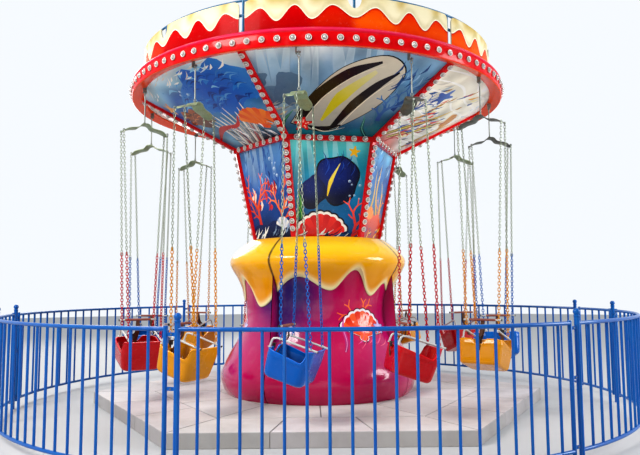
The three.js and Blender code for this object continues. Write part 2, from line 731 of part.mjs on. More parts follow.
// Both rails and the pickets between them, from one angle to another.
function railsAndPickets(from, to, firstPicket, lastPicket) {
  const steps = Math.max(2, Math.round((to - from) / 5));
  const parts = [
    arcPipe(FENCE_RADIUS, RAIL_TOP_Z, from, to, RAIL_SIZE, steps),
    arcPipe(FENCE_RADIUS, RAIL_FOOT_Z, from, to, RAIL_SIZE, steps),
  ];
  const count = Math.round((lastPicket - firstPicket) / PICKET_PITCH);
  for (let i = 0; i <= count; i += 1) {
    const angle = firstPicket + ((lastPicket - firstPicket) * i) / count;
    parts.push(bar(around(angle, FENCE_RADIUS, RAIL_FOOT_Z), around(angle, FENCE_RADIUS, RAIL_TOP_Z),
      PICKET_SIZE));
  }
  return parts;
}

function stile(angle) {
  return bar(around(angle, FENCE_RADIUS, RAIL_FOOT_Z - RAIL_SIZE - 8),
    around(angle, FENCE_RADIUS, RAIL_TOP_Z + RAIL_SIZE), RAIL_SIZE - 4);
}

// A flat bracket across the gap from an end stile to the next post.
function postBracket(stileAngle, postAngle, z, gap) {
  const reach = (postAngle - stileAngle) * rad(1) * FENCE_RADIUS - POST_SIZE - gap;
  const plate = box(reach, 8, BRACKET_SIZE, reach / 2, -FENCE_RADIUS, z);
  return plate.rotate([0, 0, stileAngle]);
}

// A pintle on a gate post: a block with an upright peg.
function pintle(postAngle, side, z) {
  const reach = HINGE_OFFSET + PIN_SIZE;
  const block = box(reach, 18, 14, side * reach / 2, -FENCE_RADIUS, z);
  const peg = bar(new THREE.Vector3(side * HINGE_OFFSET, -FENCE_RADIUS, z),
    new THREE.Vector3(side * HINGE_OFFSET, -FENCE_RADIUS, z + 50), PIN_SIZE, 8);
  return [block.rotate([0, 0, postAngle]), peg.rotate([0, 0, postAngle])];
}

// Eye of a gate leaf, dropped over the post's pintle, with its strap to the stile.
function gateEye(postAngle, side, stileReach, z) {
  const profile = [[EYE_INNER, 0], [EYE_OUTER, 0], [EYE_OUTER, 34], [EYE_INNER, 34]];
  const low = z + 7 + SEAT_GAP;
  const eye = turned(profile, 8, 22.5).translate([side * HINGE_OFFSET, -FENCE_RADIUS, low]);
  const start = HINGE_OFFSET + EYE_INNER + 4;
  const strap = box(stileReach - start, 10, 34, side * (start + stileReach) / 2, -FENCE_RADIUS, low + 17);
  return [eye.rotate([0, 0, postAngle]), strap.rotate([0, 0, postAngle])];
}

// Fence posts in order round the ring. The two narrow spans are the gates.
const POSTS = [-67.8, -16.4, 35.2, 86.9, 102.5, 160.5, 218.5, 276.5];

// Bays: [from, to, keeps its end post, gate pintles on the first or last post].
const BAYS = [
  [POSTS[0], POSTS[1], false, -1],
  [POSTS[1], POSTS[2], false, 0],
  [POSTS[2], POSTS[3], true, 0],
  [POSTS[4], POSTS[5], false, -1],
  [POSTS[5], POSTS[6], false, 0],
  [POSTS[6], POSTS[7], true, 0],
];

function fenceBay(index) {
  const [from, to, keepsEndPost, gateSide] = BAYS[index];
  const stileAngle = to - STILE_OFFSET;
  const parts = [...post(from), ...railsAndPickets(from, stileAngle, from + 2.6, stileAngle - 2.3)];
  parts.push(stile(stileAngle));
  const gap = keepsEndPost ? -6 : SEAT_GAP;
  for (const z of [RAIL_FOOT_Z + 30, 700, RAIL_TOP_Z - 40]) {
    parts.push(postBracket(stileAngle, to, z, gap));
  }
  if (keepsEndPost) parts.push(...post(to));
  if (gateSide) {
    for (const z of HINGE_LEVELS) parts.push(...pintle(from, -1, z));
  }
  return mesh(`fence_bay_${index + 1}`, join(parts), paints.fence_blue);
}

// A gate leaf hung on the post at its far end.
function gate(name, from, to) {
  const mmAngle = 1 / (rad(1) * FENCE_RADIUS);
  const hingeStile = to - (HINGE_OFFSET + 48) * mmAngle;
  const freeStile = from + (POST_SIZE + RAIL_SIZE) * mmAngle + GATE_LIP;
  const parts = railsAndPickets(freeStile, hingeStile, freeStile + 2.3, hingeStile - 2.3);
  parts.push(stile(freeStile), stile(hingeStile));
  for (const z of HINGE_LEVELS) parts.push(...gateEye(to, -1, HINGE_OFFSET + 48, z));
  return mesh(name, join(parts), paints.fence_blue);
}

const ride = new THREE.Group();
ride.add(plinth(), baseHousing(), dripCollar(), mast());
ride.add(turntable(), ribFrame(), ...waistPanels(), ...canopyPanels());
ride.add(lightRim(), ...fasciaBoards(), roofFrame(), chairs());
for (let i = 0; i < BAYS.length; i += 1) ride.add(fenceBay(i));
ride.add(gate('gate_right', POSTS[3], POSTS[4]), gate('gate_left', POSTS[7], POSTS[0] + 360));

export default ride;
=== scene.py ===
"""Looks of the chair swing ride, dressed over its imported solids. Sizes are metres and angles are degrees."""

import math

import bmesh
import bpy
import numpy as np
from mathutils import Matrix, Vector
from mathutils.geometry import delaunay_2d_cdt


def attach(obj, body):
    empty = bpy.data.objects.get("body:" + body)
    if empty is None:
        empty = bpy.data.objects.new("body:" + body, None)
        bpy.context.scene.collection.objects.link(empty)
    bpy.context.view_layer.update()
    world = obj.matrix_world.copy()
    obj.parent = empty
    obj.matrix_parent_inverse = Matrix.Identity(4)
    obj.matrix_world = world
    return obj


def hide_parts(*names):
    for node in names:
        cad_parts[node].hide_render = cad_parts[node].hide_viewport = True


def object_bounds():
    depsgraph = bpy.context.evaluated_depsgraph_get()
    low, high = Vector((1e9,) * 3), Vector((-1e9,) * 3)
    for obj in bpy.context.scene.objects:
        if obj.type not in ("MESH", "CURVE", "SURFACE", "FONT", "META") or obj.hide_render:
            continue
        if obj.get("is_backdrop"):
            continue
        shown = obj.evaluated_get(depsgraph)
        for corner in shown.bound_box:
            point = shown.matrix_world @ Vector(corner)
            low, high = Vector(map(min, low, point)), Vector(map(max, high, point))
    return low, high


bl_info = {
    "name": "Chair swing ride",
    "version": (1, 0, 0),
    "blender": (4, 5, 0),
    "location": "3D View > Sidebar > Swing ride",
    "description": "Dresses the packed solids of a children's chair swing ride",
    "category": "Object",
}

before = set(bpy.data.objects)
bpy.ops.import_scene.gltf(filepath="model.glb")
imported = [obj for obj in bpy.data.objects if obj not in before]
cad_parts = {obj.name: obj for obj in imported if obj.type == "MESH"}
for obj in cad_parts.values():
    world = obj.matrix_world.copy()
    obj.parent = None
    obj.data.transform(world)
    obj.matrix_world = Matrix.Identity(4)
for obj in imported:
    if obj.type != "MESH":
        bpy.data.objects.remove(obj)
CAD_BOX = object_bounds()

SIDES = 6
RIB_TURN = -20.0
CHAIRS = 12
CHAIR_TURN = -4.5
CHAIR_TWISTS = (-13, -17.5, 0, 6, -8, 4, 0, -5, 9, -4, 5, 9)
SEATS = ("seat_blue", "seat_red", "seat_yellow")
PIN = (2.262, 3.79)
SEAM_ANGLES = (-30.0, 60.0, 150.0, 240.0)
WHITE = (1.0, 1.0, 1.0)


def tint(code):
    """Linear colour of a paint that is given as six hexadecimal digits."""
    parts = [int(code[i : i + 2], 16) / 255 for i in (0, 2, 4)]
    return tuple(p / 12.92 if p <= 0.04045 else ((p + 0.055) / 1.055) ** 2.4 for p in parts)


def dimmed(colour, share, lift=0.0):
    return tuple(min(1, share * part + lift) for part in colour)


def colour_prop(label, code):
    text = f"{label} of the ride"
    return bpy.props.FloatVectorProperty(
        name=label, description=text, size=3, min=0, max=1, subtype="COLOR", default=tint(code)
    )


def size_prop(label, text, value):
    return bpy.props.FloatProperty(
        name=label, description=text, default=value, min=0, unit="LENGTH", precision=4
    )


class RideSizes(bpy.types.PropertyGroup):
    """Sizes of what is added over the solids."""

    lamp_ring: size_prop("Lamp ring", "Radius of a lamp's white ring", 0.0285)
    lamp_glass: size_prop("Lamp glass", "Radius of a lamp's faceted glass", 0.0212)
    chain_pitch: size_prop("Chain pitch", "Distance from one link to the next", 0.032)
    chain_wire: size_prop("Chain wire", "Radius of a link's wire", 0.0036)
    chain_width: size_prop("Chain width", "Outer width of a link", 0.026)
    picket_radius: size_prop("Picket radius", "Radius of a fence picket", 0.0125)
    rail_radius: size_prop("Rail radius", "Radius of a fence rail", 0.0172)
    slab_joint: size_prop("Slab joint", "Width of the joints between the plinth's slabs", 0.007)


class RideColours(bpy.types.PropertyGroup):
    """Colours of the paints and mouldings."""

    shell: colour_prop("Base crimson", "b0064a")
    collar: colour_prop("Collar gold", "e9a606")
    red: colour_prop("Rim red", "d2060e")
    fence: colour_prop("Fence blue", "0052a0")
    seat_blue: colour_prop("Blue seat", "0059ae")
    seat_red: colour_prop("Red seat", "b40210")
    seat_yellow: colour_prop("Yellow seat", "d08a04")
    spreader: colour_prop("Spreader grey green", "98a884")
    stone: colour_prop("Plinth stone", "e6e4e4")


def colour_of(name):
    return tuple(getattr(bpy.context.scene.ride_colours, name))


def size_of(name):
    return getattr(bpy.context.scene.ride_sizes, name)


# Geometry


def around(angle, radius, z):
    """Points at angles round the mast, from the front towards the right."""
    a = np.radians(angle)
    return np.stack(np.broadcast_arrays(radius * np.sin(a), -radius * np.cos(a), z), -1).astype(float)


def turned_by(points, angle):
    """Points turned round the mast's axis."""
    c, s = math.cos(math.radians(angle)), math.sin(math.radians(angle))
    x, y, z = np.moveaxis(np.asarray(points, float), -1, 0)
    return np.stack([x * c - y * s, x * s + y * c, z], -1)


def circle(count, radius=1.0):
    """Cosines and sines of even steps round a circle."""
    turn = np.linspace(0, 2 * math.pi, count, endpoint=False)
    return radius * np.cos(turn), radius * np.sin(turn)


def upright_ring(count, radius, x, y, z, across=False):
    """An upright ring of points. It lies along X if it is turned across, and along Y otherwise."""
    a, b = circle(count, radius)
    still = np.zeros(count)
    return np.column_stack([x + (a if across else still), y + (still if across else a), z + b])


def curve(points, steps=6):
    """A smooth line through points."""
    p = np.asarray(points, float)
    p = np.vstack([2 * p[0] - p[1], p, 2 * p[-1] - p[-2]])
    t = (np.arange(steps) / steps)[:, None]
    rows = [
        0.5 * (2 * b + (c - a) * t + (2 * a - 5 * b + 4 * c - d) * t**2 + (3 * b - a - 3 * c + d) * t**3)
        for a, b, c, d in zip(p, p[1:], p[2:], p[3:])
    ]
    return np.vstack([*rows, p[-2:-1]])


def eased(points, radius, steps=4, closed=False):
    """A line whose corners are rounded off."""
    p = np.asarray(points, float)
    t = np.linspace(0, 1, steps + 1)[:, None]
    rows = []
    for i, corner in enumerate(p):
        if not closed and i in (0, len(p) - 1):
            rows.append(corner[None])
            continue
        ways = p[i - 1] - corner, p[(i + 1) % len(p)] - corner
        lengths = [np.linalg.norm(way) for way in ways]
        cut = min(radius, 0.45 * min(lengths))
        a, b = (corner + way / length * cut for way, length in zip(ways, lengths))
        rows.append((1 - t) ** 2 * a + 2 * t * (1 - t) * corner + t**2 * b)
    return np.vstack(rows)


def rounded(start, end, half, radius, steps):
    """A rectangle with rounded corners, from its start to its end and to both sides of its middle line."""
    return eased([(start, -half), (end, -half), (end, half), (start, half)], radius, steps, closed=True)


def waves_through(stops, at):
    """Height of a wavy line at some angles. It is level at each of its stops: [angle, height]."""
    height = np.zeros_like(at)
    for (a0, z0), (a1, z1) in zip(stops, stops[1:]):
        here = (at >= a0) & (at <= a1)
        height = np.where(here, z0 + (z1 - z0) * (1 - np.cos(np.pi * (at - a0) / (a1 - a0))) / 2, height)
    return height


def inset(outline, by):
    """An anticlockwise outline moved inwards."""
    normals = []
    for step in (outline - np.roll(outline, 1, 0), np.roll(outline, -1, 0) - outline):
        step = step / np.maximum(np.linalg.norm(step, axis=1), 1e-9)[:, None]
        normals.append(np.column_stack([-step[:, 1], step[:, 0]]))
    middle = normals[0] + normals[1]
    middle /= np.maximum(np.linalg.norm(middle, axis=1), 1e-6)[:, None]
    lean = np.maximum((middle * normals[0]).sum(1), 0.4)
    return outline + middle * (by / lean)[:, None]


def turned_ring(row, centre, axis, angle):
    """A ring of points turned about its own axis."""
    turn = np.array(Matrix.Rotation(angle, 3, Vector(axis)))
    return (row - centre) @ turn.T + centre


class Skin:
    """Points, faces and paints of one piece, gathered as its parts are made."""

    def __init__(self):
        self.points, self.faces, self.inks, self.kinds = [], [], [], []
        self.count = 0

    def add(self, points, faces, ink=WHITE, kind=0):
        """Add a part. Its ink is one colour, or one for each point or each face's corner."""
        points = np.asarray(points, float).reshape(-1, 3)
        corners = np.array([i for face in faces for i in face], int)
        ink = np.asarray(ink, float)
        if ink.ndim == 1:
            ink = np.broadcast_to(ink, (len(corners), 3))
        elif len(ink) != len(corners):
            ink = ink[corners]
        self.points.append(points)
        self.faces += [tuple(int(i) + self.count for i in face) for face in faces]
        self.inks.append(ink)
        self.kinds += [kind] * len(faces)
        self.count += len(points)

    def grid(self, rows, ink=WHITE, kind=0, ring=False, closed=False):
        """Sheet through rows of points. Ring closes each row, and closed joins the last row to the first."""
        rows, ink = np.asarray(rows, float), np.asarray(ink, float)
        high, wide = rows.shape[:2]
        index = np.arange(high * wide).reshape(high, wide)
        if ring:
            index = np.hstack([index, index[:, :1]])
        if closed:
            index = np.vstack([index, index[:1]])
        faces = np.stack([index[:-1, :-1], index[:-1, 1:], index[1:, 1:], index[1:, :-1]], -1).reshape(-1, 4)
        self.add(rows, faces.tolist(), ink.reshape(-1, 3) if ink.ndim == 3 else ink, kind)

    def bar(self, rows, ink=WHITE, kind=0, side=1.0):
        """A bar through rings of points, with flat ends. Its sides' ink can be darkened by a share, which is
        used as painted shade.
        """
        rows, ink = np.asarray(rows, float), np.asarray(ink, float)
        self.grid(rows, ink * side, kind, ring=True)
        near, far = (ink[0, 0], ink[-1, 0]) if ink.ndim == 3 else (ink, ink)
        last = rows.shape[1]
        self.add(rows[0], [tuple(range(last - 1, -1, -1))], near, kind)
        self.add(rows[-1], [tuple(range(last))], far, kind)

    def lathe(self, profile, steps=64, ink=WHITE, kind=0, centre=(0, 0), closed=False):
        """A part turned round an upright axis, from its foot up its outside. An end on the axis is a pole."""
        angles = np.linspace(0, 360, steps, endpoint=False)
        rows = np.array([around(angles, r, z) for r, z in profile])
        rows[..., :2] += centre
        shades = np.broadcast_to(ink, (len(rows), 3))
        foot, top = profile[0][0] <= 1e-9, profile[-1][0] <= 1e-9
        body = slice(int(foot), len(rows) - int(top))
        self.grid(rows[body], shades[body][:, None].repeat(steps, 1), kind, ring=True, closed=closed)
        fan = [(steps, i, (i + 1) % steps) for i in range(steps)]
        if foot:
            self.add(np.vstack([rows[1], rows[0][:1]]), [(c, b, a) for c, a, b in fan], shades[0], kind)
        if top:
            self.add(np.vstack([rows[-2], rows[-1][:1]]), fan, shades[-1], kind)

    def tube(self, path, radius, sides=12, kind=0, closed=False):
        """A round pipe along a line, with closed ends. The radius may be one for each point."""
        path = np.asarray(path, float)
        ahead = np.roll(path, -1, 0) - np.roll(path, 1, 0) if closed else np.gradient(path, axis=0)
        ahead /= np.linalg.norm(ahead, axis=1)[:, None]
        aside = np.cross(ahead[0], (0, 0, 1) if abs(ahead[0][2]) < 0.9 else (1, 0, 0))
        across, over = (part[:, None] for part in circle(sides))
        rows = []
        for point, way, r in zip(path, ahead, np.broadcast_to(radius, len(path))):
            aside = aside - way * aside.dot(way)
            aside /= np.linalg.norm(aside)
            rows.append(point + r * (across * aside + over * np.cross(way, aside)))
        if not closed:
            self.bar(rows, kind=kind)
            return
        # The last ring is turned to meet the first one.
        gaps = [np.linalg.norm(np.roll(rows[-1], -k, 0) - rows[0], axis=1).sum() for k in range(sides)]
        shift = int(np.argmin(gaps))
        shift -= sides * (shift > sides / 2)
        step = 2 * math.pi * shift / sides / len(rows)
        for i, (row, point, way) in enumerate(zip(rows, path, ahead)):
            rows[i] = turned_ring(row, point, way, step * i)
        self.grid(rows, kind=kind, ring=True, closed=True)

    def slab(self, outline, low, high, edge=0.0, ink=WHITE, kind=0, place=None, side=1.0):
        """Flat plate over an anticlockwise outline, with eased edges, put in place by a function."""
        outline = np.asarray(outline, float)
        levels = [(outline, low + edge), (outline, high - edge)]
        if edge:
            inner = inset(outline, edge)
            levels = [(inner, low), *levels, (inner, high)]
        rows = np.array([np.column_stack([shape, np.full(len(shape), z)]) for shape, z in levels])
        self.bar(place(rows) if place else rows, ink, kind, side)

    def build(self, name, finishes, smooth=35.0, weld=0.0):
        """The gathered parts as one object."""
        mesh = bpy.data.meshes.new(name)
        mesh.from_pydata(np.vstack(self.points).tolist(), [], self.faces)
        for material in finishes:
            mesh.materials.append(material)
        mesh.polygons.foreach_set("material_index", self.kinds)
        layer = mesh.attributes.new("ink", "FLOAT_COLOR", "CORNER")
        inks = np.vstack(self.inks)
        layer.data.foreach_set("color", np.column_stack([inks, np.ones(len(inks))]).ravel())
        if weld:
            work = bmesh.new()
            work.from_mesh(mesh)
            bmesh.ops.remove_doubles(work, verts=work.verts, dist=weld)
            work.to_mesh(mesh)
            work.free()
        finish_mesh(mesh, smooth)
        piece = bpy.data.objects.new(name, mesh)
        bpy.context.collection.objects.link(piece)
        return piece


def finish_mesh(mesh, smooth):
    mesh.validate()
    mesh.polygons.foreach_set("use_smooth", [True] * len(mesh.polygons))
    mesh.set_sharp_from_angle(angle=math.radians(smooth))
    mesh.update()


def hand_over(piece, body, slot, *nodes):
    """Give a finished piece its body and hide the nodes that it stands for. Its slot is not used."""
    if nodes:
        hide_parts(*nodes)
    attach(piece, body)


# Node trees


def wired(operation, swapped=False):
    """An operator that adds a Math node to the wire's tree."""

    def method(self, other):
        first, second = (other, self) if swapped else (self, other)
        return self.graph.node("ShaderNodeMath", {"operation": operation}, {0: first, 1: second})

    return method


class Wire:
    """A socket of a node tree, with Python's arithmetic."""

    def __init__(self, graph, socket):
        self.graph, self.socket = graph, socket

    __add__ = __radd__ = wired("ADD")
    __mul__ = __rmul__ = wired("MULTIPLY")
    __sub__, __rsub__ = wired("SUBTRACT"), wired("SUBTRACT", swapped=True)
    __truediv__, __rtruediv__ = wired("DIVIDE"), wired("DIVIDE", swapped=True)
    __mod__ = wired("MODULO")


class Graph:
    """A node tree whose nodes are made by one method."""

    def __init__(self, tree):
        self.tree = tree

    def node(self, kind, settings=None, sockets=None, out=0):
        """Make a node, set it, fill its sockets by name or number, and give one of its outputs."""
        made = self.tree.nodes.new(kind)
        for key, value in (settings or {}).items():
            if key == "stops":
                for i, (at, colour) in enumerate(value):
                    stop = made.color_ramp.elements[i] if i < 2 else made.color_ramp.elements.new(at)
                    stop.position, stop.color = at, (*colour, 1)
            else:
                setattr(made, key, value)
        for key, value in (sockets or {}).items():
            socket = made.inputs[key]
            if isinstance(value, Wire):
                self.tree.links.new(value.socket, socket)
            elif socket.type == "RGBA" and len(value) == 3:
                socket.default_value = (*value, 1)
            else:
                socket.default_value = value
        return Wire(self, made.outputs[out]) if made.outputs else made

    def ramp(self, factor, *stops):
        return self.node("ShaderNodeValToRGB", {"stops": stops}, {"Fac": factor})

    def mixed(self, factor, first, second, how="MIX"):
        settings = {"data_type": "RGBA", "blend_type": how}
        return self.node("ShaderNodeMix", settings, {0: factor, 6: first, 7: second}, 2)


class Finish(Graph):
    """A material on Object coordinates."""

    def __init__(self, name):
        self.material = bpy.data.materials.new(name)
        self.material.use_nodes = True
        super().__init__(self.material.node_tree)
        self.tree.nodes.clear()
        self.place = self.node("ShaderNodeTexCoord", out="Object")

    def noise(self, scale, detail=3.0, roughness=0.55, stretch=None):
        """Cloudy noise from 0 to 1."""
        place = self.place
        if stretch:
            place = self.node("ShaderNodeMapping", None, {"Vector": place, "Scale": stretch})
        sockets = {"Vector": place, "Scale": scale, "Detail": detail, "Roughness": roughness}
        return self.node("ShaderNodeTexNoise", None, sockets)

    def spots(self, scale):
        """Distance to the nearest of many scattered points."""
        return self.node("ShaderNodeTexVoronoi", None, {"Vector": self.place, "Scale": scale})

    def level(self, factor, low, high, to_low=0.0, to_high=1.0):
        """A factor spread from one range to another, and kept inside it."""
        sockets = {"Value": factor, "From Min": low, "From Max": high, "To Min": to_low, "To Max": to_high}
        return self.node("ShaderNodeMapRange", None, sockets)

    def ink(self, out="Color"):
        return self.node("ShaderNodeAttribute", {"attribute_name": "ink"}, out=out)

    def bump(self, height, strength, distance, under=None):
        sockets = {"Height": height, "Strength": strength, "Distance": distance}
        if under:
            sockets["Normal"] = under
        return self.node("ShaderNodeBump", None, sockets)

    def done(self, base, rough, skin=None, coat=0.0, coat_rough=0.03, specular=0.5, metal=0.0):
        """Close the material with one shader."""
        sockets = {
            "Base Color": base, "Roughness": rough, "Coat Weight": coat, "Coat Roughness": coat_rough,
            "Specular IOR Level": specular, "Metallic": metal,
        }
        if skin:
            sockets["Normal"] = skin
        shader = self.node("ShaderNodeBsdfPrincipled", None, sockets)
        self.node("ShaderNodeOutputMaterial", None, {"Surface": shader})
        return self.material


_finishes = {}


def finish(maker, *settings):
    """Each finish is made once and shared."""
    key = (maker.__name__, settings)
    if key not in _finishes:
        _finishes[key] = maker(*settings)
    return _finishes[key]


def gel_coat(name="gel", gloss=1.0):
    """Hand-laid glossy moulding in the colours of its ink, which carry painted sheen, highlights and shade,
    with slight waves and dust.
    """
    f = Finish(f"{name}_coat")
    cloud = f.level(f.noise(2.3, 4), 0.35, 0.7, 0.0, 0.14)
    base = f.mixed(cloud, f.ink(), (0.85, 0.62, 0.66), "SOFT_LIGHT")
    base = f.mixed(f.level(f.noise(9, 6), 0.55, 0.8, 0, 0.06), base, (0.55, 0.45, 0.42))
    skin = f.bump(f.noise(70, 2), 0.04, 0.0005, f.bump(f.noise(5.5, 2), 0.35, 0.012))
    return f.done(base, f.level(f.noise(26, 5), 0.3, 0.75, 0.15, 0.26), skin, 0.5 * gloss, 0.05, 0.2 * gloss)


def print_film(name="print", varnish=1.0):
    """Printed and varnished sheet: the drawing, brushy variation, and specks where the varnish has worn."""
    f = Finish(f"{name}_film")
    brush = f.noise(11, 6, 0.65, (1, 1, 2.2))
    ink = f.node("ShaderNodeGamma", None, {"Color": f.ink(), "Gamma": 1.35})
    tones = f.ramp(brush, (0.25, (0.3, 0.31, 0.34)), (0.75, (0.55, 0.53, 0.5)))
    base = f.mixed(0.5, ink, tones, "SOFT_LIGHT")
    dabs = f.level(f.noise(24, 4, 0.7), 0.6, 0.76, 0, 0.12)
    base = f.mixed(dabs, base, f.mixed(0.5, base, (0.9, 0.92, 0.9)))
    base = f.mixed(f.level(f.spots(160), 0.08, 0.04, 0, 0.2), base, (0.82, 0.8, 0.74))
    skin = f.bump(f.noise(60, 3), 0.06, 0.0005, f.bump(f.noise(3.5, 2), 0.3, 0.006))
    return f.done(base, f.level(brush, 0.2, 0.8, 0.24, 0.38), skin, 0.3 * varnish, 0.08, 0.15 * varnish)


def gloss_paint(name, colour, fade, rough=0.2, chips=0.0):
    """Sprayed enamel with fading, dust and a few chips."""
    f = Finish(f"{name}_enamel")
    base = f.mixed(f.level(f.noise(3.1, 4), 0.4, 0.75, 0, 0.5), colour, fade)
    base = f.mixed(f.level(f.noise(17, 7), 0.56, 0.82, 0, 0.07), base, dimmed(colour, 0.6, 0.16))
    if chips:
        bare = f.level(f.noise(48, 8, 0.7), 0.755 - chips, 0.765 - chips)
        base = f.mixed(bare, base, f.ramp(f.noise(90, 3), (0.3, tint("6a3a24")), (0.7, tint("a9a39a"))))
        dull = f.level(bare, 0, 1, rough + 0.06, 0.75)
    else:
        dull = f.level(f.noise(30, 5), 0.3, 0.8, rough, rough + 0.16)
    return f.done(base, dull, f.bump(f.noise(85, 2), 0.08, 0.0006), 0.3, 0.08, 0.15)


def seat_moulding(name, colour):
    """Rotation-moulded plastic: soft gloss, a fine orange skin, scuffs and lighter rubbed places, times the
    painted highlights and shade in its ink.
    """
    f = Finish(f"{name}_moulding")
    light = dimmed(colour, 1.25, 0.03)
    base = f.mixed(f.level(f.noise(6.5, 4), 0.45, 0.75, 0, 0.2), colour, light)
    scuff = f.level(f.noise(36, 8, 0.72, (1, 1, 3.2)), 0.64, 0.78, 0, 0.05)
    # The ink multiplies in the bucket's painted highlights and painted shade.
    base = f.mixed(1.0, f.mixed(scuff, base, dimmed(light, 0.6, 0.2)), f.ink(), "MULTIPLY")
    skin = f.bump(f.noise(240, 2), 0.08, 0.0004, f.bump(f.noise(9, 2), 0.2, 0.004))
    return f.done(base, f.level(f.noise(12, 3), 0.3, 0.75, 0.22, 0.3), skin, 0.4, 0.1, 0.15)


def stone():
    """Sawn pale stone: fine crystals, soft clouding, dirt in patches and a gritty face."""
    f = Finish("sawn_stone")
    grain, cloud = f.noise(260, 3, 0.7), f.noise(2.2, 6, 0.6)
    tones = f.ramp(cloud, (0.3, tint("d3cdc9")), (0.55, tint("ece8e6")), (0.8, tint("f5f2f1")))
    # The ink brings each slab's own tone, and the painted shade on the slabs' sides and on the core seen in
    # the joints.
    base = f.mixed(1.0, f.ink(), tones, "MULTIPLY")
    base = f.mixed(f.level(grain, 0.35, 0.7, 0.4, 0), base, tint("a39f9c"))
    base = f.mixed(f.level(f.noise(14, 8, 0.7), 0.55, 0.8, 0, 0.25), base, tint("b0a9a0"))
    skin = f.bump(grain, 0.4, 0.0009, f.bump(f.noise(30, 5), 0.3, 0.002))
    return f.done(base, f.level(cloud, 0.3, 0.7, 0.62, 0.85), skin)


def zinc(name, colour, metal=0.55):
    """Galvanised or thinly painted steel, with spangle and dull patches."""
    f = Finish(f"{name}_zinc")
    base = f.mixed(f.level(f.spots(120), 0.1, 0.7, 0, 0.5), colour, dimmed(colour, 0.55))
    base = f.mixed(f.level(f.noise(33, 6), 0.6, 0.74, 0, 0.5), base, tint("5d4a3a"))
    rough = f.level(f.noise(21, 4), 0.3, 0.75, 0.3, 0.52)
    return f.done(base, rough, f.bump(f.noise(140, 3), 0.25, 0.0006), metal=metal)


def lamp_glass():
    """Cut clear lens over a grey reflector."""
    f = Finish("lamp_lens")
    cuts = f.spots(330)
    base = f.ramp(cuts, (0.0, tint("f0ede6")), (0.45, tint("c4c0ba")), (1.0, tint("8a8783")))
    return f.done(base, f.level(cuts, 0, 1, 0.06, 0.2), f.bump(cuts, 0.6, 0.002), coat=1.0, metal=0.25)


def lamp_ring_paint():
    """White plastic ring with a little dirt."""
    f = Finish("lamp_ring_white")
    base = f.mixed(f.level(f.noise(60, 5), 0.5, 0.8, 0, 0.5), tint("d9d2cc"), tint("a2978e"))
    return f.done(base, f.level(f.noise(110, 3), 0.3, 0.7, 0.2, 0.36), coat=0.4)


def rubber(name, colour):
    """Soft dark plastic with dusty patches."""
    f = Finish(f"{name}_rubber")
    base = f.mixed(f.level(f.noise(55, 6), 0.45, 0.75, 0, 0.4), colour, dimmed(colour, 0.6, 0.1))
    return f.done(base, f.level(f.noise(80, 3), 0.3, 0.7, 0.5, 0.75), f.bump(f.noise(300, 2), 0.3, 0.0005))


def webbing():
    """Woven strap with slanting ribs, which follow the strap by its ink."""
    f = Finish("brown_webbing")
    weave = f.ink("Vector")
    ribs, across = (
        f.node("ShaderNodeTexWave", {"bands_direction": way}, {"Vector": weave, "Scale": scale})
        for way, scale in (("DIAGONAL", 78.0), ("X", 120.0))
    )
    thread = ribs * 0.7 + across * 0.3
    base = f.ramp(thread, (0.1, tint("2e1b12")), (0.9, tint("6b4029")))
    return f.done(base, f.level(thread, 0, 1, 0.7, 0.9), f.bump(thread, 0.6, 0.0008))


def pale_floor():
    """Plain pale studio floor."""
    f = Finish("pale_floor")
    base = f.ramp(f.noise(0.8, 3), (0.3, tint("b8b8b7")), (0.7, tint("bababa")))
    return f.done(base, f.level(f.noise(6, 3), 0.3, 0.7, 0.75, 0.85))


# Geometry Nodes


class Layout(Graph):
    """A geometry tree with named inputs."""

    def __init__(self, name, numbers, materials, counts=()):
        super().__init__(bpy.data.node_groups.new(name, "GeometryNodeTree"))
        face = self.tree.interface
        face.new_socket("Geometry", in_out="OUTPUT", socket_type="NodeSocketGeometry")
        face.new_socket("Geometry", in_out="INPUT", socket_type="NodeSocketGeometry")
        for keys, kind in ((numbers, "Float"), (counts, "Int"), (materials, "Material")):
            for key in keys:
                face.new_socket(key, in_out="INPUT", socket_type=f"NodeSocket{kind}")
        self.source = self.tree.nodes.new("NodeGroupInput")

    def __getitem__(self, name):
        return Wire(self, self.source.outputs[name])

    def circle(self, count, radius):
        return self.node("GeometryNodeCurvePrimitiveCircle", None, {"Resolution": count, "Radius": radius})

    def cylinder(self, count, radius, depth, fill="NGON"):
        sockets = {"Vertices": count, "Radius": radius, "Depth": depth}
        return self.node("GeometryNodeMeshCylinder", {"fill_type": fill}, sockets)

    def swept(self, line, profile):
        return self.node("GeometryNodeCurveToMesh", None, {"Curve": line, "Profile Curve": profile})

    def raised(self, shape, amount):
        shift = self.node("ShaderNodeCombineXYZ", None, {"Z": amount})
        return self.node("GeometryNodeTransform", None, {"Geometry": shape, "Translation": shift})

    def facing(self):
        """Rotation that turns +Z to the points' facing attribute."""
        way = self.node("GeometryNodeInputNamedAttribute", {"data_type": "FLOAT_VECTOR"}, {"Name": "facing"})
        return self.node("FunctionNodeAlignRotationToVector", {"axis": "Z"}, {"Vector": way})

    def placed(self, shape, points, rotation, material):
        """Put a shape on every point, as a real mesh with its material."""
        sockets = {"Points": points, "Instance": shape}
        if rotation:
            sockets["Rotation"] = rotation
        put = self.node("GeometryNodeInstanceOnPoints", None, sockets)
        real = self.node("GeometryNodeRealizeInstances", None, {"Geometry": put})
        return self.node("GeometryNodeSetMaterial", None, {"Geometry": real, "Material": self[material]})

    def joined(self, *parts):
        join = self.tree.nodes.new("GeometryNodeJoinGeometry")
        for part in reversed(parts):
            self.tree.links.new(part.socket, join.inputs[0])
        return Wire(self, join.outputs[0])

    def ended(self, geometry):
        self.node("NodeGroupOutput", None, {"Geometry": geometry})
        return self.tree


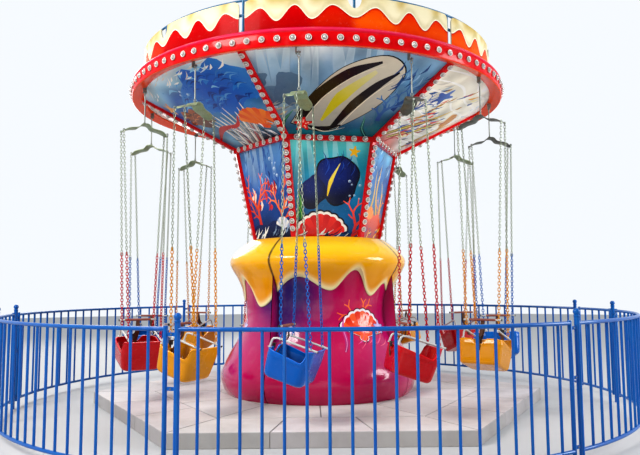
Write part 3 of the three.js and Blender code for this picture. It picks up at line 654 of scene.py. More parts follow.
def lamp_tree():
    """A lamp on each point: a white ring, its short holder and a faceted lens."""
    t = Layout("lamps", ("Ring Radius", "Glass Radius"), ("Ring Finish", "Glass Finish"))
    size = t["Ring Radius"]
    ring = t.raised(t.swept(t.circle(14, size), t.circle(5, size * 0.2)), size * 0.45)
    holder = t.raised(t.cylinder(14, size * 0.92, size * 0.6, "NONE"), size * 0.28)
    ball = t.node("GeometryNodeMeshUVSphere", None, {"Segments": 9, "Rings": 6, "Radius": t["Glass Radius"]})
    facing = t.facing()
    rings = t.placed(t.joined(ring, holder), t["Geometry"], facing, "Ring Finish")
    lenses = t.placed(t.raised(ball, size * 0.45), t["Geometry"], facing, "Glass Finish")
    return t.ended(t.joined(rings, lenses))


def bolt_tree():
    """A hexagon head on a round washer at each point."""
    t = Layout("bolts", ("Head Radius", "Head Height"), ("Finish",))
    size, tall = t["Head Radius"], t["Head Height"]
    washer = t.raised(t.cylinder(12, size * 1.5, tall * 0.3), tall * 0.15)
    head = t.raised(t.cylinder(6, size, tall), tall * 0.7)
    return t.ended(t.placed(t.joined(washer, head), t["Geometry"], t.facing(), "Finish"))


def chain_tree():
    """Links along each line, every second one turned a quarter."""
    t = Layout("chain", ("Pitch", "Width", "Wire"), ("Finish",))
    wide = t["Width"] - t["Wire"] * 2
    sizes = {"Width": wide, "Height": t["Pitch"] + t["Wire"] * 2}
    loop = t.node("GeometryNodeCurvePrimitiveQuadrilateral", {"mode": "RECTANGLE"}, sizes)
    ends = {"Curve": loop, "Radius": wide * 0.5, "Count": 2, "Limit Radius": True}
    link = t.swept(t.node("GeometryNodeFilletCurve", {"mode": "POLY"}, ends), t.circle(5, t["Wire"]))
    # The link is drawn on the level plane, so it is stood up along Z first.
    link = t.node("GeometryNodeTransform", None, {"Geometry": link, "Rotation": (math.pi / 2, 0, 0)})
    line = t.node("GeometryNodeMeshToCurve", None, {"Mesh": t["Geometry"]})
    walk = t.tree.nodes.new("GeometryNodeCurveToPoints")
    walk.mode = "LENGTH"
    t.tree.links.new(line.socket, walk.inputs["Curve"])
    t.tree.links.new(t["Pitch"].socket, walk.inputs["Length"])
    way = {"Vector": Wire(t, walk.outputs["Tangent"])}
    upright = t.node("FunctionNodeAlignRotationToVector", {"axis": "Z"}, way)
    angle = t.node("GeometryNodeInputIndex") % 2 * (math.pi / 2) + 0.5
    quarter = t.node("FunctionNodeAxisAngleToRotation", None, {"Axis": (0, 0, 1), "Angle": angle})
    rotation = t.node("FunctionNodeRotateRotation", {"rotation_space": "LOCAL"}, {0: upright, 1: quarter})
    return t.ended(t.placed(link, Wire(t, walk.outputs["Points"]), rotation, "Finish"))


def picket_tree():
    """Upright pickets spaced evenly along an arc round the mast."""
    t = Layout("pickets", ("First", "Last", "Ring", "Foot", "Top", "Radius"), ("Finish",), ("Count",))
    points = t.node("GeometryNodePoints", None, {"Count": t["Count"]})
    share = t.node("GeometryNodeInputIndex") / (t["Count"] - 1)
    angle = t["First"] + (t["Last"] - t["First"]) * share
    spot = t.node("ShaderNodeCombineXYZ", None, {
        "X": t.node("ShaderNodeMath", {"operation": "SINE"}, {0: angle}) * t["Ring"],
        "Y": t.node("ShaderNodeMath", {"operation": "COSINE"}, {0: angle}) * t["Ring"] * -1,
        "Z": (t["Foot"] + t["Top"]) * 0.5,
    })
    stood = t.node("GeometryNodeSetPosition", None, {"Geometry": points, "Position": spot})
    return t.ended(t.placed(t.cylinder(12, t["Radius"], t["Top"] - t["Foot"]), stood, None, "Finish"))


_trees = {}


def grown(name, maker, values, points=(), facing=None, lines=(), smooth=35.0):
    """The plain mesh object that a tree makes from points or lines."""
    if maker not in _trees:
        _trees[maker] = maker()
    tree = _trees[maker]
    source = bpy.data.meshes.new(name)
    source.from_pydata([tuple(p) for p in points], [tuple(e) for e in lines], [])
    if facing is not None:
        layer = source.attributes.new("facing", "FLOAT_VECTOR", "POINT")
        layer.data.foreach_set("vector", np.asarray(facing, float).ravel())
    carrier = bpy.data.objects.new(name, source)
    bpy.context.collection.objects.link(carrier)
    modifier = carrier.modifiers.new("grow", "NODES")
    modifier.node_group = tree
    for item in tree.interface.items_tree:
        if item.in_out == "INPUT" and item.name in values:
            modifier[item.identifier] = values[item.name]
    graph = bpy.context.evaluated_depsgraph_get()
    mesh = bpy.data.meshes.new_from_object(carrier.evaluated_get(graph), depsgraph=graph)
    carrier.modifiers.remove(modifier)
    carrier.data = mesh
    bpy.data.meshes.remove(source)
    mesh.name = name
    if not len(mesh.polygons):
        raise RuntimeError(f"{name}: its tree made no faces")
    finish_mesh(mesh, smooth)
    return carrier


# Printed scenes, drawn flat and cut into triangles along every outline


def spread(points, line):
    """Each point's signed distance past a line's start, as a share of the line."""
    start, end = np.asarray(line[0], float), np.asarray(line[1], float)
    way = end - start
    return ((points - start) @ way / (way @ way)).clip(0, 1)[:, None]


def flat(code):
    colour = np.array(tint(code))
    return lambda points, under: np.broadcast_to(colour, (len(points), 3))


def fade(first, second, line):
    """Paint that runs from one colour to another along a line."""
    a, b = np.array(tint(first)), np.array(tint(second))
    return lambda points, under: a + (b - a) * spread(points, line)


def glow(first, second, centre, reach):
    """Paint that runs from one colour in the middle to another at a distance."""
    a, b = np.array(tint(first)), np.array(tint(second))

    def paint(points, under):
        share = (np.linalg.norm(points - np.asarray(centre), axis=1) / reach).clip(0, 1)[:, None]
        return a + (b - a) * share**1.4

    return paint


def veil(code, strong, line):
    """See-through paint that thins out along a line."""
    colour = np.array(tint(code))

    def paint(points, under):
        cover = strong * (1 - spread(points, line))
        return under + (colour - under) * cover

    return paint


def oval(x, y, wide, tall, turn=0.0, steps=30, wobble=0.0, lobes=5, phase=0.0):
    t = np.linspace(0, 2 * math.pi, steps, endpoint=False)
    reach = 1 + wobble * np.sin(lobes * t + phase) + 0.5 * wobble * np.sin((lobes + 3) * t + 2.1 * phase)
    c, s = math.cos(math.radians(turn)), math.sin(math.radians(turn))
    px, py = wide * reach * np.cos(t), tall * reach * np.sin(t)
    return np.column_stack([x + px * c - py * s, y + px * s + py * c])


def ribbon(line, widths, steps=6):
    """Band along a smooth line, from its width at the start to its width at the end."""
    path = curve(line, steps)
    way = np.gradient(path, axis=0)
    way /= np.linalg.norm(way, axis=1)[:, None]
    aside = np.column_stack([-way[:, 1], way[:, 0]])
    share = np.linspace(0, len(widths) - 1, len(path))
    half = np.interp(share, range(len(widths)), widths)[:, None] / 2
    return np.vstack([path - aside * half, (path + aside * half)[::-1]])


def stepped(point, long, angle):
    """The point at a distance and an angle in radians from another one."""
    return point[0] + long * math.cos(angle), point[1] + long * math.sin(angle)


def starfish(x, y, reach, turn=0.0, arms=5, waist=0.4):
    """Outline of a starfish with blunt arms."""
    points = []
    for arm in range(arms):
        middle = math.radians(turn + 360 * arm / arms)
        for off, out in ((-0.5, waist), (-0.13, 0.86), (0.0, 1.0), (0.13, 0.86)):
            points.append(stepped((x, y), reach * out, middle + off * 2 * math.pi / arms))
    return eased(points, reach * 0.2, 3, closed=True)


def scallop(x, y, reach, turn, first, second, ribs=9):
    """Fan shell: scalloped outline, and ribs in two colours."""
    opening = math.radians(150)
    start, step = math.radians(turn) - opening / 2, opening / ribs
    swell = reach * (1 + 0.05 * np.sin(np.linspace(0, math.pi, 6)))
    shapes = []
    for i in range(ribs):
        angles = start + step * (i + np.linspace(0, 1, 6))
        edge = np.column_stack([x + swell * np.cos(angles), y + swell * np.sin(angles)])
        colours = (second, first) if i % 2 else (first, second)
        paint = fade(*colours, ((x, y), stepped((x, y), reach, angles[0])))
        shapes.append((np.vstack([(x, y), edge]), paint))
    return shapes + [(oval(x, y, reach * 0.2, reach * 0.13, turn + 90), flat(second))]


def grown_outline(outline, x, y, by):
    return (outline - (x, y)) * by + (x, y)


def coral(x, y, tall, turn, colours, rng, depth=3, width=0.05):
    """Branching coral with blunt ends."""
    shapes = []
    paint = fade(*colours, ((x, y), (x, y + tall)))

    def branch(foot, long, angle, wide, level):
        bend = rng.uniform(-18, 18)
        middle = stepped(foot, long * 0.5, math.radians(angle))
        end = stepped(middle, long * 0.5, math.radians(angle + bend))
        shapes.append((ribbon([foot, middle, end], (wide, wide * 0.8, wide * 0.62)), paint))
        shapes.append((oval(*end, wide * 0.42, wide * 0.42, 0, 14), paint))
        if level:
            for side in (-1, 1):
                away = long * rng.uniform(0.6, 0.8), angle + bend + side * rng.uniform(22, 40)
                branch(end, *away, wide * 0.68, level - 1)
            if level > 1:
                branch(middle, long * 0.55, angle + rng.choice([-1, 1]) * 48, wide * 0.55, level - 2)

    branch((x, y), tall * 0.42, turn, width, depth)
    return shapes


def kelp(x, y, tall, lean, colours, width=0.05, waves=2.5, phase=0.0):
    """One long wavy blade with a paler midrib."""
    low, high, pale = colours
    share = np.linspace(0, 1, 9)
    sway = 0.06 * tall * np.sin(waves * math.pi * share + phase)
    line = np.column_stack([x + lean * share + sway, y + tall * share])
    blade = ribbon(line, (width * 0.5, width, width * 0.9, width * 0.6, 0.004))
    rib = ribbon(line, (width * 0.1, width * 0.12, width * 0.1, 0.002))
    return [(blade, fade(low, high, ((x, y), (x + lean, y + tall)))), (rib, flat(pale))]


def bubbles(x, y, count, reach, rng, size=0.03):
    """Bubbles with a pale edge, a darker heart and a glint."""
    shapes = []
    for _ in range(count):
        px, py = x + rng.uniform(-reach, reach), y + rng.uniform(-reach, reach) * 1.6
        r = size * rng.uniform(0.35, 1)
        shapes += [
            (oval(px, py, r, r, 0, 18), veil("f4fbff", 0.75, ((px, py + r), (px + r, py - r)))),
            (oval(px, py, r * 0.72, r * 0.72, 0, 16), veil("5fa6cf", 0.6, ((px - r, py), (px + 2 * r, py)))),
            (oval(px - r * 0.3, py + r * 0.35, r * 0.2, r * 0.14, 30, 10), flat("ffffff")),
        ]
    return shapes


def light_beams(x, y, count, long, turn, rng):
    """Slanting beams from the surface, as thin paint."""
    shapes = []
    for i in range(count):
        angle = math.radians(turn + rng.uniform(-7, 7))
        px = x + i * 0.16 + rng.uniform(-0.04, 0.04)
        half = rng.uniform(0.03, 0.09) / 2
        end = stepped((px, y), long, angle)
        beam = [(px - half, y), (px + half, y), (end[0] + half * 3.2, end[1]), (end[0] - half * 3.2, end[1])]
        shapes.append((np.array(beam), veil("eaf6f6", 0.4, ((px, y), end))))
    return shapes


def strokes(x, y, wide, tall, count, codes, rng, turn=60, size=0.035):
    """Short loose brush strokes."""
    shapes = []
    for _ in range(count):
        px, py = x + rng.uniform(-wide, wide), y + rng.uniform(-tall, tall)
        a = math.radians(turn + rng.uniform(-22, 22))
        long = rng.uniform(0.08, 0.22)
        line = [(px, py), stepped((px, py + 0.01), long * 0.5, a), stepped((px, py), long, a + 0.3)]
        outline = ribbon(line, (0.003, size * rng.uniform(0.4, 1), 0.002), 3)
        shapes.append((outline, flat(codes[rng.integers(len(codes))])))
    return shapes


def sea(stops, cloud=0.05, seed=1, tilt=0.15):
    """Background paint: bands of colour that melt into one another, with soft blotches."""
    heights = np.array([h for h, _ in stops])
    tints = np.array([tint(code) for _, code in stops])
    rng = np.random.default_rng(seed)
    waves = rng.uniform(2, 9, (7, 2)) * rng.choice([-1, 1], (7, 2))
    phases = rng.uniform(0, 6.3, 7)

    def paint(points, under):
        swell = np.sin(points @ waves.T + phases).sum(1)
        level = points[:, 1] + tilt * points[:, 0] + cloud * swell
        base = np.stack([np.interp(level, heights, tints[:, k]) for k in range(3)], 1)
        patch = np.sin(points @ (waves.T[::-1] * 2.3) + phases[::-1]).sum(1)[:, None] / 7
        return (base * (1 + 0.35 * patch)).clip(0, 1)

    return paint


def inside(points, outline):
    """Which points lie inside a closed outline."""
    low, high = outline.min(0), outline.max(0)
    near = ((points >= low) & (points <= high)).all(1)
    result = np.zeros(len(points), bool)
    if near.any():
        x, y = points[near].T[:, :, None]
        x1, y1 = outline.T
        x2, y2 = np.roll(outline, -1, 0).T
        lift = np.where(y2 == y1, 1e-12, y2 - y1)
        cross = ((y1 > y) != (y2 > y)) & (x < (x2 - x1) * (y - y1) / lift + x1)
        result[near] = cross.sum(1) % 2 == 1
    return result


class Motifs(list):
    """A picture's outlines with their paints, from the lowest layer up."""

    def add(self, outline, paint):
        self.append((outline, paint))


class Drawing:
    """A flat drawing cut into triangles: its points, triangles and a colour at each corner."""

    def __init__(self, boundary, spacing, background, motifs, creases=()):
        low, high = boundary.min(0), boundary.max(0)
        across = np.arange(low[0] + spacing / 2, high[0], spacing)
        up = np.arange(low[1] + spacing / 2, high[1], spacing * 0.87)
        field = np.array([(x + spacing / 2 * (row % 2), y) for row, y in enumerate(up) for x in across])
        field = field[inside(field, inset(boundary, spacing * 0.35))]
        loops = [boundary, *(outline for outline, _ in motifs)]
        edges = []
        start = len(field)
        for number, line in enumerate([*loops, *creases]):
            count = len(line)
            steps = count if number < len(loops) else count - 1
            edges += [(start + i, start + (i + 1) % count) for i in range(steps)]
            start += count
        flat_points = [Vector(p) for p in np.vstack([field, *loops, *creases])]
        made, _, faces, *_ = delaunay_2d_cdt(flat_points, edges, [], 0, 1e-5)
        points = np.array([tuple(p) for p in made])
        faces = np.array([f for f in faces if len(f) == 3])
        faces = faces[inside(points[faces].mean(1), boundary)]
        centres = points[faces].mean(1)
        corners = points[faces].reshape(-1, 2)
        inks = np.array(background(corners, None), float)
        for outline, paint in motifs:
            mask = np.repeat(inside(centres, outline), 3)
            if mask.any():
                inks[mask] = paint(corners[mask], inks[mask])
        used, numbers = np.unique(faces, return_inverse=True)
        self.points, self.faces, self.inks = points[used], numbers.reshape(-1, 3).tolist(), inks.clip(0, 1)

    def onto(self, skin, front, back=None, back_ink=(0.7, 0.7, 0.68)):
        """Put the drawing on a surface, with a plain back and edges if it is a plate."""
        skin.add(front(self.points), self.faces, self.inks)
        if back is None:
            return
        count = len(self.points)
        sides = {edge: True for a, b, c in self.faces for edge in ((a, b), (b, c), (c, a))}
        walls = [(b, a, a + count, b + count) for a, b in sides if (b, a) not in sides]
        rear = [(a + count, c + count, b + count) for a, b, c in self.faces]
        skin.add(np.vstack([front(self.points), back(self.points)]), rear + walls, back_ink)


# Scenes for the printed panels. Each works on a panel's own flat sheet: x runs across and y towards the rim.


def banner_reef(rng):
    """Front canopy: striped sail shell over a blue haze, with a red starfish."""
    reef = Motifs(light_beams(-1.0, 1.32, 9, 1.1, -80, rng))
    for x, y, w, h in ((-0.82, 0.62, 0.24, 0.16), (-0.6, 0.72, 0.15, 0.24), (-0.99, 0.84, 0.16, 0.12)):
        reef.add(oval(x, y, w, h, 8, 30, 0.12, 4, x), fade("5f7f9c", "7d9cb2", ((x, y - h), (x, y + h))))
    reef += strokes(-0.75, 0.42, 0.3, 0.1, 12, ("c9b7a0", "a9b7b8", "8f9aa0"), rng, 10, 0.04)
    # The shell's body, its dark bands and its yellow inner gleam.
    sail = [(-0.5, 0.22), (-0.34, 0.62), (-0.06, 1.0), (0.36, 1.18)]
    sail += [(0.62, 1.02), (0.5, 0.62), (0.22, 0.3), (-0.12, 0.1)]
    body = curve(sail + sail[:1], 6)[:-1]
    reef.add(grown_outline(body, 0.05, 0.6, 1.025), flat("16131c"))
    reef.add(body, fade("e3dccb", "b5b4ae", ((0.0, 1.1), (0.1, 0.1))))
    gleam = ribbon([(-0.16, 0.26), (0.0, 0.62), (0.3, 0.98)], (0.03, 0.15, 0.05))
    reef.add(gleam, fade("d9cf3f", "e8e3c2", ((0.1, 0.5), (0.35, 1.05))))
    for line, widths in (
        ([(-0.42, 0.27), (-0.26, 0.62), (0.02, 0.93), (0.33, 1.1)], (0.1, 0.15, 0.13, 0.03)),
        ([(-0.02, 0.16), (0.16, 0.52), (0.36, 0.8), (0.56, 1.0)], (0.06, 0.12, 0.1, 0.02)),
        ([(-0.3, 0.18), (-0.14, 0.13), (0.08, 0.2)], (0.02, 0.09, 0.02)),
    ):
        reef.add(ribbon(line, widths), fade("1d1626", "2b2233", ((0, 0.2), (0.4, 1.0))))
        pale = [(x + 0.055, y - 0.035) for x, y in line]
        reef.add(ribbon(pale, (0.004, 0.014, 0.01, 0.002)), flat("efe7d3"))
    for x, y, long, turn in ((0.64, 0.48, 0.5, 62), (0.8, 0.62, 0.42, 40), (0.5, 0.3, 0.4, 84)):
        reef += coral(x, y, long, turn, ("2f5d9c", "6f9fcc"), rng, 3, 0.06)
    reef += strokes(0.72, 0.86, 0.24, 0.22, 34, ("5d86b6", "8fb3d2", "3f6698", "a9c6dc"), rng, 40, 0.03)
    reef += kelp(-0.62, 0.0, 0.42, 0.1, ("0f5a58", "2a8f78", "8fd0b0"), 0.06, 2, 1)
    reef += kelp(0.42, 0.0, 0.36, -0.12, ("12505a", "2c8c8a", "8fd6c8"), 0.05, 2, 2)
    star = (-0.36, 0.2)
    reef.add(starfish(*star, 0.125, 20), flat("4a0a10"))
    reef.add(starfish(*star, 0.115, 20), glow("ff4a3c", "d01422", star, 0.12))
    for arm in range(5):
        for k in (0.35, 0.6):
            spot = stepped(star, 0.1 * k, math.radians(20 + 72 * arm))
            reef.add(oval(*spot, 0.01, 0.01, 0, 8), flat("ffd9c8"))
    reef += bubbles(-0.78, 0.3, 7, 0.12, rng, 0.035)
    stops = (
        (-0.05, "0b6f79"), (0.1, "1790a0"), (0.2, "35789a"), (0.45, "7d9db4"), (0.8, "7ea8c6"),
        (1.15, "a4c2d6"), (1.35, "e4eaea"),
    )
    return sea(stops, 0.02, 5, -0.12), reef


def shallow_reef(rng):
    """Right canopy: pale sand and surf, yellow weed and red twigs."""
    reef = Motifs()
    for k in range(7):
        y = 0.2 + 0.16 * k
        line = [(-1.1, y), (-0.5, y + 0.07), (0.0, y - 0.02), (0.55, y + 0.08), (1.1, y)]
        reef.add(ribbon(line, (0.012, 0.03, 0.02, 0.035, 0.01)), veil("ffffff", 0.7, ((-1, 0), (2, 0))))
    reef += strokes(0.0, 0.62, 0.9, 0.45, 60, ("f4efe2", "d9d3c8", "b9c6cf", "efe6b0"), rng, 25, 0.045)
    for x, lean, tall in ((-0.42, 0.5, 0.72), (-0.3, 0.62, 0.6), (0.3, 0.42, 0.7)):
        reef += kelp(x, 0.12, tall, lean, ("8a7a12", "e2c31c", "f7eb9a"), 0.1, 1.6, x * 4)
    reef += scallop(0.36, 0.66, 0.2, 60, "e8b21c", "c98a10", 8)
    reef += coral(-0.25, 0.02, 0.5, 76, ("b01224", "ea4a3a"), rng, 3, 0.045)
    reef += coral(0.62, 0.1, 0.5, 70, ("a01030", "e0403a"), rng, 3, 0.045)
    reef += coral(-0.7, 0.5, 0.4, 50, ("2a4f9a", "5f8fd0"), rng, 3, 0.04)
    reef += strokes(0.1, 0.4, 0.6, 0.22, 44, ("1f52a8", "3a7cc8", "c8182a", "20242c"), rng, 25, 0.045)
    reef += strokes(-0.3, 0.75, 0.5, 0.3, 26, ("e8b81c", "c8a010", "1c6aa8", "e8641c"), rng, 35, 0.06)
    reef.add(starfish(-0.5, 0.86, 0.15, 25), fade("2f55a4", "86a8da", ((-0.6, 0.75), (-0.4, 1.0))))
    reef += bubbles(0.62, 0.95, 6, 0.12, rng, 0.04)
    stops = (
        (-0.05, "c8404a"), (0.08, "d9a59a"), (0.22, "dfe0dc"), (0.6, "e9e7da"), (1.0, "f0ecdd"),
        (1.35, "faf7ee"),
    )
    return sea(stops, 0.02, 11, 0.1), reef


def surf_reef(rng):
    """Left canopy: strong blue water, an orange fan shell, brown rock and pale fronds."""
    reef = Motifs()
    reef.add(oval(0.35, 0.86, 0.66, 0.32, 12, 40, 0.14, 7, 2), glow("1c72cc", "4a9cd8", (0.35, 0.86), 0.6))
    reef += strokes(0.35, 0.9, 0.7, 0.28, 46, ("3f96d8", "2a78c8", "9fd0ea", "1658a8"), rng, 170, 0.06)
    reef += strokes(0.3, 0.86, 0.55, 0.2, 40, ("2a6fbc", "1a549e", "4f93cf", "79b2dc"), rng, 170, 0.03)
    reef += strokes(0.0, 1.16, 0.9, 0.08, 34, ("f7f3ea", "e6ddd0", "cfe0e8"), rng, 5, 0.026)
    rock = oval(-0.48, 0.62, 0.26, 0.15, -24, 36, 0.16, 5, 1)
    reef.add(rock, fade("6a3a1c", "c4763a", ((-0.5, 0.45), (-0.5, 0.8))))
    reef += strokes(-0.48, 0.62, 0.2, 0.08, 18, ("8a4f28", "d98f4c", "4a2a1a"), rng, 150, 0.03)
    for k in range(9):
        line = [(-0.3 + 0.05 * k, 0.02), (-0.26 + 0.07 * k, 0.3), (-0.36 + 0.1 * k, 0.52 + 0.05 * (k % 3))]
        code = ("d9d6cf", "8f9296", "f1ece0", "b3242a")[k % 4]
        reef.add(ribbon(line, (0.035, 0.05, 0.008)), fade(code, "f3efe6", (line[0], line[2])))
        reef.add(ribbon([(x + 0.012, y) for x, y in line], (0.004, 0.008, 0.002)), flat("4a4b52"))
    reef += scallop(0.42, 0.22, 0.3, 74, "f7a23a", "f0741c", 10)
    weed = ribbon([(-0.62, 0.22), (-0.3, 0.36), (0.02, 0.34), (0.2, 0.46)], (0.02, 0.08, 0.05, 0.01))
    reef.add(weed, fade("b01622", "e0483a", ((-0.6, 0.2), (0.2, 0.4))))
    reef += strokes(0.2, 0.12, 0.45, 0.1, 34, ("ffffff", "cfd4d6", "8d9397", "3d444c"), rng, 95, 0.03)
    reef.add(starfish(-0.78, 0.92, 0.11, 50), fade("ffe3b0", "e69a4a", ((-0.85, 0.85), (-0.7, 1.0))))
    reef += bubbles(-0.2, 0.95, 6, 0.14, rng, 0.035)
    stops = (
        (-0.05, "10242f"), (0.05, "3a6f8c"), (0.3, "7fa9be"), (0.6, "5094c6"), (0.85, "1f72bf"),
        (1.1, "a9cfe2"), (1.35, "f4f2ec"),
    )
    return sea(stops, 0.035, 3, 0.06), reef


def deep_front(rng):
    """Front waist: navy boulders in teal water, a red fan shell and green weed."""
    reef = Motifs(light_beams(-0.4, 1.22, 5, 0.7, -86, rng))
    reef.add(oval(0.1, 0.72, 0.27, 0.3, 10, 40, 0.07, 3, 0.4), flat("0a1230"))
    reef.add(oval(0.1, 0.72, 0.25, 0.28, 10, 40, 0.07, 3, 0.4), glow("24479c", "101c4c", (0.04, 0.84), 0.34))
    reef.add(oval(-0.2, 0.56, 0.16, 0.2, -14, 32, 0.08, 4, 1), glow("1f3f8c", "0d1740", (-0.23, 0.64), 0.22))
    gleam = ribbon([(-0.02, 0.52), (0.02, 0.7), (0.13, 0.92)], (0.012, 0.05, 0.006))
    reef.add(gleam, fade("f2d21c", "f7ea8a", ((0, 0.5), (0.1, 0.9))))
    reef += strokes(0.1, 0.8, 0.18, 0.14, 14, ("3a66b8", "2c4f9e", "16275c"), rng, 60, 0.022)
    for x, lean, tall, w in ((-0.4, 0.04, 0.62, 0.07), (-0.33, -0.04, 0.5, 0.06), (0.4, 0.05, 0.42, 0.05)):
        reef += kelp(x, -0.02, tall, lean, ("0c5a34", "2f9a4c", "a9dc6a"), w, 2.4, x * 9)
    reef += coral(0.3, -0.04, 0.5, 84, ("c2183a", "ff7a5a"), rng, 3, 0.05)
    for reach, *codes in ((0.35, "2c0610", "2c0610"), (0.33, "f3ece2", "f3ece2"), (0.3, "d01218", "ea4430")):
        reef += scallop(-0.08, -0.01, reach, 94, *codes, 9)
    reef += strokes(0.0, 0.03, 0.42, 0.03, 26, ("1c3f6e", "e8e4da", "14304f", "d83a30"), rng, 20, 0.03)
    reef.add(starfish(0.3, 1.06, 0.075, 10), flat("f0c63a"))
    reef += bubbles(0.33, 0.62, 6, 0.08, rng, 0.025)
    stops = (-0.05, "143a66"), (0.2, "1f6f9e"), (0.5, "1c86ae"), (0.85, "2fa9bf"), (1.2, "7fd6d2")
    return sea(stops, 0.02, 8, 0.05), reef


def deep_right(rng):
    """Right waist: blue water over a yellow and red-orange bank."""
    reef = Motifs(strokes(0.0, 0.95, 0.42, 0.2, 26, ("2f79b8", "5fa8d6", "cfe6f0", "1c5a98"), rng, 30, 0.035))
    for x, lean, tall in ((-0.3, 0.22, 0.8), (0.1, -0.12, 0.9), (0.34, -0.2, 0.7)):
        reef += kelp(x, 0.1, tall, lean, ("b8860a", "f0cc1e", "fff3a0"), 0.07, 2.2, x * 7)
    reef.add(oval(0.0, 0.16, 0.42, 0.2, 4, 40, 0.1, 6, 2), fade("b8240f", "f2701c", ((0, 0), (0, 0.36))))
    reef += scallop(-0.16, 0.26, 0.17, 96, "f7c21e", "ee7a12", 9)
    reef += coral(0.24, 0.16, 0.42, 86, ("d8341a", "ffb03a"), rng, 3, 0.045)
    reef += strokes(0.05, 0.08, 0.4, 0.07, 24, ("f7d23a", "c8281a", "1d5c9a"), rng, 15, 0.03)
    reef += bubbles(-0.28, 0.95, 5, 0.08, rng, 0.03)
    stops = (-0.05, "c2401a"), (0.25, "d88a2c"), (0.42, "4a8fb4"), (0.8, "2f84c0"), (1.2, "8fc8e0")
    return sea(stops, 0.02, 21, 0.08), reef


def deep_left(rng):
    """Left waist: slate blue water, orange coral low down and a navy and white foot."""
    reef = Motifs(light_beams(-0.3, 1.22, 4, 0.6, -92, rng))
    reef += strokes(0.0, 0.85, 0.42, 0.28, 34, ("3a6fb4", "6a9cd4", "22508e", "9cc0e0"), rng, 70, 0.04)
    reef += strokes(-0.02, 0.5, 0.34, 0.14, 22, ("d8401c", "e8765a", "f2dccb", "c22c14"), rng, 60, 0.06)
    reef += coral(-0.22, 0.16, 0.62, 96, ("c22c14", "ff8a3c"), rng, 4, 0.06)
    reef += coral(0.2, 0.12, 0.5, 80, ("d84018", "ffa85a"), rng, 3, 0.055)
    bank = oval(0.02, 0.08, 0.42, 0.15, -4, 36, 0.12, 5, 1)
    reef.add(bank, fade("0c1636", "22386e", ((0, -0.02), (0, 0.2))))
    reef += scallop(0.22, 0.14, 0.14, 80, "f3ece2", "b8c4d8", 8)
    reef += strokes(-0.1, 0.06, 0.36, 0.05, 22, ("f0ece2", "9fb0c4", "1a2b58"), rng, 30, 0.03)
    reef += bubbles(0.2, 0.9, 6, 0.1, rng, 0.03)
    stops = (-0.05, "101c3c"), (0.18, "24487e"), (0.6, "2c68ae"), (1.2, "74a6d2")
    return sea(stops, 0.02, 14, 0.05), reef


CANOPY_SCENES = (banner_reef, shallow_reef, surf_reef)
WAIST_SCENES = (deep_front, deep_right, deep_left)


def panel_boundary(low, high, tall):
    """Outline of a panel's flat sheet, from its lower width to its upper one."""
    up = np.linspace(0, tall, 9)
    half = (low + (high - low) * up / tall) / 2
    right = np.column_stack([half, up])
    top = np.column_stack([np.linspace(half[-1], -half[-1], 27)[1:-1], np.full(25, tall)])
    foot = np.column_stack([np.linspace(-half[0], half[0], 13)[1:-1], np.zeros(11)])
    return np.vstack([right, top, (right * (-1, 1))[::-1], foot])


# Shapes shared with the solids

# The base housing from its foot up: [radius, height].
HOUSING = np.array([
    (1.160, 0.1463), (1.208, 0.215), (1.238, 0.335), (1.215, 0.470), (1.120, 0.660), (1.015, 0.840),
    (0.950, 1.010), (0.930, 1.150), (0.938, 1.300), (0.968, 1.450), (1.010, 1.580), (1.044, 1.690),
])
HOUSING_LINE = curve(HOUSING, 8)
# The collar's lower edge once round: [angle, height].
DRIPS = (
    (-77, 1.290), (-62, 1.560), (-47, 1.225), (-12.6, 1.580), (8.7, 1.420), (25, 1.655), (40.8, 1.353),
    (54, 1.500), (62, 1.390), (80, 1.640), (102, 1.260), (124, 1.600), (146, 1.380), (166, 1.650),
    (188, 1.250), (212, 1.590), (232, 1.400), (256, 1.620), (283, 1.290),
)
POSTS = (-67.8, -16.4, 35.2, 86.9, 102.5, 160.5, 218.5, 276.5)
FENCE_RING = 3.756


def housing_radius(z):
    return np.interp(z, HOUSING_LINE[:, 1], HOUSING_LINE[:, 0])


def drip_edge(angle):
    """Height of the collar's lower edge."""
    first = DRIPS[0][0]
    return waves_through(DRIPS, (np.asarray(angle, float) - first) % 360 + first)


def seam_depth(angle, half=0.35, deep=0.006):
    """How far a mould seam's groove cuts in at an angle."""
    angle = np.asarray(angle, float)
    near = np.min([np.abs((angle - s + 180) % 360 - 180) for s in SEAM_ANGLES], axis=0)
    return deep * (1 - near / half).clip(0, 1)


def seam_angles(steps):
    """Even angles round the ride, with extra ones at the mould seams."""
    even = np.linspace(-180, 180, steps, endpoint=False)
    extra = [s + d for s in SEAM_ANGLES for d in (-0.36, -0.12, 0, 0.12, 0.36)]
    extra = [(e + 180) % 360 - 180 for e in extra]
    clear = [a for a in even if min(abs(a - e) for e in extra) > 0.4]
    return np.array(sorted(clear + extra))


# Pieces


class RideOperator:
    """What the ride's operators share."""

    bl_options = {"REGISTER", "UNDO"}


